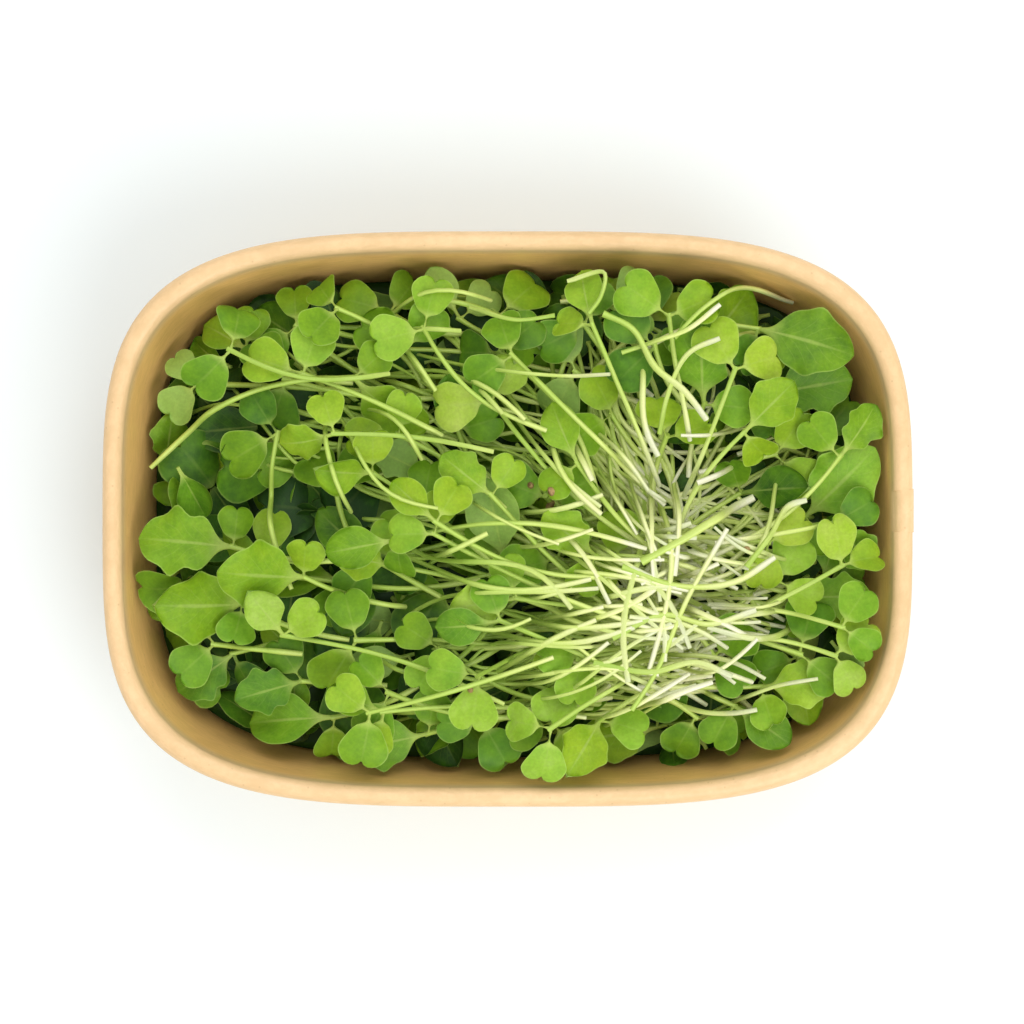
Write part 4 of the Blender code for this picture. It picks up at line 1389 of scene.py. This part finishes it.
def bundle_route(draw, heap, level, plan):
    """Heights for a stem of the bundles: free at the cut end, under the leaves at its head."""
    column, row = cells = heap.cells(plan)
    over = around(heap.ceiling, cells, np.minimum)
    depth = draw.uniform(*LOOSE_DEPTH)
    low = np.minimum(level[cells] - depth, over - 2.2 * FINE_STEM_RADIUS)
    high = around(heap.top, cells, np.maximum) + 1.2 * FINE_STEM_RADIUS
    low = running(low, LOOSE_REACH, np.min)
    low = np.maximum(low, running(heap.bed[cells] + FINE_STEM_RADIUS, LOOSE_REACH, np.max))
    high = running(high, LOOSE_REACH, np.max)
    first, last = OPENING_STATIONS
    opening = first + int((high - low)[first:last].argmin())
    at_opening = opening / (len(plan) - 1) - OPENING_LEAD
    dive = draw.choice((NEVER_FREE, NEVER_FREE, at_opening))
    share = eased(np.clip((np.linspace(0, 1, len(plan)) - dive) / DIVE_SHARE, 0, 1))
    heights = smoothed(high * (1 - share) + low * share, SOFT_WINDOW, 2)
    heights = np.minimum(heights, TOP_LIMIT - FINE_STEM_RADIUS)
    free = share < 0.5
    np.maximum.at(heap.top, (column[free], row[free]), heights[free] + FREE_GAP)
    np.minimum.at(heap.ceiling, (column[~free], row[~free]), heights[~free] - HIDDEN_GAP)
    return np.concatenate([plan, heights[:, None]], axis=1)


def stray_route(heap, places):
    """Route of a loose stem that lies on top of the heap."""
    plan = smooth_path(places, BUNDLE_POINTS)
    ground = np.array([heap.height(x, y, 2) for x, y in plan]) + 1.3 * FINE_STEM_RADIUS
    heights = smoothed(running(ground, STRAY_REACH, np.max), EVEN_WINDOW, 3)
    heights = np.minimum(heights, TOP_LIMIT - FINE_STEM_RADIUS)
    np.maximum.at(heap.top, heap.cells(plan), heights + FINE_STEM_RADIUS)
    return np.concatenate([plan, heights[:, None]], axis=1)


def more_seedlings(draw, heap, count):
    """Small seedlings laid where the heap is low enough, with their heads round the bundles."""
    laid, tries = [], 0
    while len(laid) < count and tries < 8 * count:
        tries += 1
        plan = bundle_stem(draw)
        head, cut = plan[-1], plan[0]
        way = math.degrees(math.atan2(*(head - plan[-6])[::-1]))
        kind = draw.choice(("pair", "pair", "oval", "lobed"))
        length = draw.uniform(8, 10) if kind == "pair" else draw.uniform(10, 13)
        row = (kind, *head, way, *cut, draw.gauss(0, 0.06), length)
        seedling = laid_sprout(draw, heap, row, TOP_LIMIT)
        if seedling:
            laid.append(seedling)
    return laid


def scattered(name, shapes, places, turns, sizes, picks, material, tree):
    """One mesh object of shapes set at places by the scatter tree."""
    holder = bpy.data.collections.new(name + "_shapes")
    bpy.context.scene.collection.children.link(holder)
    for index, mesh in enumerate(shapes):
        holder.objects.link(bpy.data.objects.new(f"{name}_{index:02d}", mesh))
    cloud = bpy.data.meshes.new(name + "_places")
    cloud.from_pydata((np.array(places) * MM).tolist(), [], [])
    for label, kind, values in (
        ("turn", "FLOAT_VECTOR", turns),
        ("size", "FLOAT", sizes),
        ("which", "INT", picks),
    ):
        layer = cloud.attributes.new(label, kind, "POINT")
        field = "vector" if kind == "FLOAT_VECTOR" else "value"
        layer.data.foreach_set(field, np.array(values).ravel())
    thing = linked(name + "_places", cloud)
    mesh = grown(thing, tree, {"Shapes": holder, "Material": material})
    bpy.data.objects.remove(thing)
    for source in list(holder.objects):
        bpy.data.objects.remove(source)
    bpy.data.collections.remove(holder)
    mesh.name = name
    mesh.shade_smooth()
    return linked(name, mesh)


def deep_leaves(draw, heap, skin, tree):
    """Leaves between the core and the seedlings, set by the scatter tree, in dark tones painted as
    their shade.
    """
    shapes, outlines = [], []
    for index in range(DEEP_SHAPES):
        kind, length = DEEP_KINDS[index % len(DEEP_KINDS)]
        leaf = (kind, length, 0, leaf_form(draw, kind), 0, 0, 0, np.zeros(3))
        # Dark tones: painted shade under the seedlings
        blade = fine_blade(leaf, *DEEP_GRID, draw.uniform(-0.10, 0.15))
        piece = mesh_of(f"leaf_shape_{index}", [blade], [skin])
        shapes.append(piece.data)
        outlines.append(fine_blade(leaf, *CLOSE_GRID)[0])
        bpy.data.objects.remove(piece)
    places, turns, sizes, picks = [], [], [], []
    while len(places) < DEEP_LEAVES:
        along, across = power_direction(draw.uniform(0, 6.28))
        reach = draw.choice((draw.uniform(0.82, 0.98), math.sqrt(draw.random())))
        x = reach * along * (RIM_HALF_LENGTH - DEEP_WALL_GAP)
        y = reach * across * (RIM_HALF_WIDTH - DEEP_WALL_GAP)
        turn = (draw.uniform(-0.6, 0.6), draw.uniform(-0.6, 0.3), draw.uniform(0, 6.28))
        size, pick = draw.uniform(0.7, 1.15), draw.randrange(len(shapes))
        place = (x, y, core_height(x, y) + draw.uniform(-5.0, 1.0))
        points = size * outlines[pick] @ np.array(Euler(turn).to_matrix()).T
        sink = min(heap.drop(points + place), 0)
        place = (x, y, place[2] + sink)
        if sink < -4 or inward_shift(points + place).any():
            continue
        places.append(place)
        turns.append(turn)
        sizes.append(size)
        picks.append(pick)
    return scattered("deep_leaves", shapes, places, turns, sizes, picks, skin, tree)


def husks(draw, heap, skin, tree):
    """Brown seed husks caught among the stems."""
    mesh = bpy.data.meshes.new("husk_shape")
    vertices, faces = [], []
    for ring in range(HUSK_RINGS):
        turn = math.pi * (ring + 0.35) / (HUSK_RINGS - 0.3)
        for step in range(HUSK_SIDES):
            angle = 2 * math.pi * step / HUSK_SIDES
            dent = 1 - HUSK_DENT * max(math.cos(angle), 0)
            radius = HUSK_RADIUS * math.sin(turn) * dent
            along = HUSK_HALF_LENGTH * math.cos(turn)
            vertices.append((along, radius * math.cos(angle), radius * math.sin(angle)))
    for ring in range(HUSK_RINGS - 1):
        low, high = ring * HUSK_SIDES, (ring + 1) * HUSK_SIDES
        for step in range(HUSK_SIDES):
            after = (step + 1) % HUSK_SIDES
            faces.append((low + step, high + step, high + after, low + after))
    count = len(vertices)
    faces += [tuple(range(HUSK_SIDES)), tuple(range(count - HUSK_SIDES, count))[::-1]]
    mesh.from_pydata([tuple(c * MM for c in vertex) for vertex in vertices], [], faces)
    mesh.materials.append(skin)
    places, turns, sizes = [], [], []
    while len(places) < HUSKS:
        x, y = draw.uniform(-30, 52), draw.uniform(-44, 20)
        places.append((x, y, min(heap.value(heap.top, x, y), TOP_LIMIT - 1) - HUSK_SINK))
        turns.append(tuple(draw.uniform(0, 6.28) for _ in range(3)))
        sizes.append(draw.uniform(1.2, 1.7))
    return scattered("seed_husks", [mesh], places, turns, sizes, [0] * HUSKS, skin, tree)


def toned_blades(draw, leaves, tone, grid, pale=0.0):
    """Fine blades of one stem, in tones close to a given one."""
    blades = []
    for leaf in leaves:
        near = clamp(tone + draw.uniform(-TONE_SPREAD, TONE_SPREAD), 0, 1)
        blades.append(fine_blade(leaf, *grid, near, pale))
    return blades


def main():
    fibres = fibre_group()
    leaf_skin = new_material("leaf", leaf_group(), 0.3, 0.00018, specular=0.28, soft=0.28)
    stem_skin = new_material("stem", stem_group(), 0.25, 0.0001, rough=0.38, specular=0.4)
    husk_skin = new_material("seed_husk", husk_group(), 0.4, 0.0001, rough=0.6, specular=0.3)
    kraft = new_material(
        "kraft_board", fibres, 0.16, 0.0001, (0.85, 0.585, 0.31), 0.6, 0.25, coat=0.3
    )
    kraft_dull = new_material(
        "kraft_base_board", fibres, 0.3, 0.00015, (0.66, 0.44, 0.23), 0.75, 0.25
    )

    sleeve = fine_sleeve([kraft])
    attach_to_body(sleeve, "root")
    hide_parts("tray_wall")
    base = frame["nodes"]["tray_base"]
    base = base if hasattr(base, "material_slots") else bpy.data.objects["tray_base"]
    base.material_slots[0].material = kraft_dull

    stems, scatter = stem_tree(), scatter_tree()
    draw = random.Random(SEED)
    colour_draw = random.Random(SEED + 4)
    heap = Heap()
    bed = [bed_leaf(draw, index) for index in range(BED_LEAVES)]
    for x in np.arange(-RIM_HALF_LENGTH, RIM_HALF_LENGTH, 2 * CELL):
        for y in np.arange(-RIM_HALF_WIDTH, RIM_HALF_WIDTH, 2 * CELL):
            top = core_height(x, y)
            heap.lay(np.array([(x + i * CELL, y + j * CELL, top) for i in (0, 1) for j in (0, 1)]))
    heap.lay(heap.spread([solid for _, solid in bed]))
    heap.bed = heap.top.copy()

    laid = []
    for index, sprout in enumerate(SPROUTS):
        route, leaves = laid_sprout(draw, heap, sprout)
        tone = colour_draw.uniform(0.25, 0.68)
        pale = 0.85 * (index in PALE_SPROUTS)
        parts = toned_blades(colour_draw, leaves, tone, SEEDLING_GRID, pale)
        laid += leaves
        name = f"seedling_{index + 1:02d}"
        piece = mesh_of(name, parts, [leaf_skin, stem_skin])
        stem = stems_mesh(name + "_stem", [route], [1.0], stems, stem_skin)
        attach(piece, stem)
        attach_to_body(piece, "root")
        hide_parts(f"sprout_{index + 1:02d}")

    for leaf in laid:
        samples = fine_blade(leaf, *CLOSE_GRID)[0]
        heap.lay(samples)
        heap.hang(samples)
    level = surface_level(heap)
    fill_draw = random.Random(SEED + 9)
    extra = more_seedlings(fill_draw, heap, MORE_SEEDLINGS)
    routes, heads = [], []
    for _ in range(FILL_STEMS):
        routes.append(bundle_route(fill_draw, heap, level, bundle_stem(fill_draw)))
        heads.append(bundle_leaves(fill_draw, heap, routes[-1]))
    radii = [fill_draw.triangular(0.5, 1.15, 0.8) for _ in routes]
    routes += [stray_route(heap, places) for places, _ in STRAYS]
    radii += [radius for _, radius in STRAYS]
    bundles = stems_mesh("stem_bundles", routes, radii, stems, stem_skin, 24, 8)
    bundles = linked("stem_bundles", bundles)
    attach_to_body(bundles, "root")

    parts = []
    for _, leaves in extra:
        tone = colour_draw.uniform(0.35, 0.82)
        parts += toned_blades(colour_draw, leaves, tone, SMALL_GRID)
    piece = mesh_of("small_seedlings", parts, [leaf_skin, stem_skin])
    small_routes = [route for route, _ in extra]
    small_radii = [0.9] * len(extra)
    attach(piece, stems_mesh("small_stems", small_routes, small_radii, stems, stem_skin, 28, 9))
    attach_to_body(piece, "root")

    parts = []
    for leaves in heads:
        tone = colour_draw.uniform(0.2, 0.78)
        pale = float(colour_draw.random() < 0.2)
        parts += toned_blades(colour_draw, leaves, tone, BUNDLE_GRID, pale)
    piece = mesh_of("bundle_leaves", parts, [leaf_skin])
    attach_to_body(piece, "root")

    fill = hung_leaves(fill_draw, heap, level, FILL_LEAVES, ("heart", "oval", "lobed", "oval"))
    blades = [pose for pose, _ in bed] + fill
    # Dark tones for the bed leaves by the core: painted shade under the seedlings
    shades = [(colour_draw.uniform(-0.05, 0.22), 0.0) for _ in bed]
    shades += [(colour_draw.uniform(0.04, 0.62), float(colour_draw.random() < 0.12)) for _ in fill]
    parts = [fine_blade(pose, *LOWER_GRID, *shade) for pose, shade in zip(blades, shades)]
    lower = mesh_of("lower_leaves", parts, [leaf_skin])
    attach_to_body(lower, "root")
    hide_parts("sprout_bed")
    deep = deep_leaves(fill_draw, heap, leaf_skin, scatter)
    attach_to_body(deep, "root")
    brown = husks(fill_draw, heap, husk_skin, scatter)
    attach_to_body(brown, "root")
    lower_core(leaf_skin)

    light_and_camera()


def attach(piece, stem):
    """Adds a stem's mesh to a piece, in its second material slot."""
    joined = linked("joined_stem", stem)
    stem.materials.clear()
    for material in piece.data.materials:
        stem.materials.append(material)
    stem.polygons.foreach_set("material_index", np.ones(len(stem.polygons), dtype=np.int32))
    both = [piece, joined]
    with bpy.context.temp_override(
        active_object=piece, object=piece, selected_objects=both, selected_editable_objects=both
    ):
        bpy.ops.object.join()


def lower_core(skin):
    """Mass of leaves deep in the tray, seen only through gaps, painted in the darkest tones as
    their shade.
    """
    turns = even_turns(MASS_STEPS)
    levels = [(CORE_FLOOR, 0.999), (CORE_EDGE_HEIGHT - MASS_EDGE_DEPTH, 1.0)]
    levels += [(None, scale) for scale in MASS_SCALES]
    draw = random.Random(SEED + 2)
    vertices = []
    for height, scale in levels:
        wall_height = CORE_FLOOR if height == CORE_FLOOR else CORE_EDGE_HEIGHT
        inset = wall_inner(wall_height) - CORE_WALL_GAP
        for turn in turns:
            along, across = power_direction(turn)
            x = (RIM_HALF_LENGTH + inset) * along * scale
            y = (RIM_HALF_WIDTH + inset) * across * scale
            z = height or core_height(x, y) - MASS_DEPTH + draw.uniform(-MASS_BUMP, MASS_BUMP)
            vertices.append((x, y, z))
    faces = []
    for ring in range(len(levels) - 1):
        low, high = ring * MASS_STEPS, (ring + 1) * MASS_STEPS
        for step in range(MASS_STEPS):
            after = (step + 1) % MASS_STEPS
            faces.append((low + step, low + after, high + after, high + step))
    faces.append(tuple(range(MASS_STEPS))[::-1])
    faces.append(tuple(range(len(vertices) - MASS_STEPS, len(vertices))))
    mesh = bpy.data.meshes.new("lower_mass")
    mesh.from_pydata([tuple(c * MM for c in vertex) for vertex in vertices], [], faces)
    mesh.shade_smooth()
    shade = mesh.attributes.new("shade", "FLOAT_VECTOR", "POINT")
    # Tones below zero: painted shade deep in the tray
    shades = [(draw.uniform(-0.4, 0.0), draw.random(), 0) for _ in vertices]
    shade.data.foreach_set("vector", np.array(shades, dtype=np.float32).ravel())
    layer = mesh.uv_layers.new(name="marks")
    layer.data.foreach_set("uv", [0.5, 0.72] * len(mesh.loops))
    mesh.materials.append(skin)
    piece = linked("lower_mass", mesh)
    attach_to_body(piece, "root")


def pale_floor():
    """Near-white floor that the tray stands on."""
    corners = [(-1, -1), (1, -1), (1, 1), (-1, 1)]
    corners = [(FLOOR_REACH * x, FLOOR_REACH * y, FLOOR_LEVEL) for x, y in corners]
    mesh = bpy.data.meshes.new("floor")
    mesh.from_pydata(corners, [], [(0, 1, 2, 3)])
    pale = bpy.data.materials.new("pale_floor")
    pale.use_nodes = True
    tree = pale.node_tree
    shader = tree.nodes["Principled BSDF"]
    patch = noise(tree, 6.0, 2.0, 0.5, object_place(tree))
    tint = mix_colour(tree, patch, (0.875, 0.935, 0.940), (0.895, 0.955, 0.960))
    tree.links.new(tint, shader.inputs["Base Color"])
    shader.inputs["Roughness"].default_value = 0.9
    shader.inputs["Specular IOR Level"].default_value = 0.1
    mesh.materials.append(pale)
    return linked("floor", mesh)


def area_lamp(name, place, size, power):
    """Round lamp that faces the greens."""
    lamp = bpy.data.lights.new(name, "AREA")
    lamp.shape = "DISK"
    lamp.size = size
    lamp.energy = power
    thing = linked(name, lamp)
    way = np.array(LAMP_AIM) - np.array(place)
    tilt = math.atan2(math.hypot(way[0], way[1]), -way[2])
    thing.location = place
    thing.rotation_euler = (tilt, 0, math.atan2(-way[0], way[1]))


def light_and_camera():
    """Floor, lamps, even light from all round, and the camera straight above."""
    floor = pale_floor()
    for row in LAMPS:
        area_lamp(*row)

    scene = bpy.context.scene
    scene.world = bpy.data.worlds.new("studio")
    scene.world.use_nodes = True
    background = scene.world.node_tree.nodes["Background"]
    background.inputs["Color"].default_value = (1, 1, 1, 1)
    background.inputs["Strength"].default_value = WORLD_STRENGTH
    scene.view_settings.view_transform = "Standard"

    lens = bpy.data.cameras.new("camera")
    lens.sensor_width = SENSOR_WIDTH
    lens.sensor_fit = "HORIZONTAL"
    lens.lens = SENSOR_WIDTH * CAMERA_DISTANCE / CAMERA_VIEW_WIDTH
    lens.clip_start, lens.clip_end = 0.05, 10
    scene.camera = linked("camera", lens)
    x, y, z = CAMERA_CENTRE
    scene.camera.location = (x, y, z + CAMERA_DISTANCE)


main()
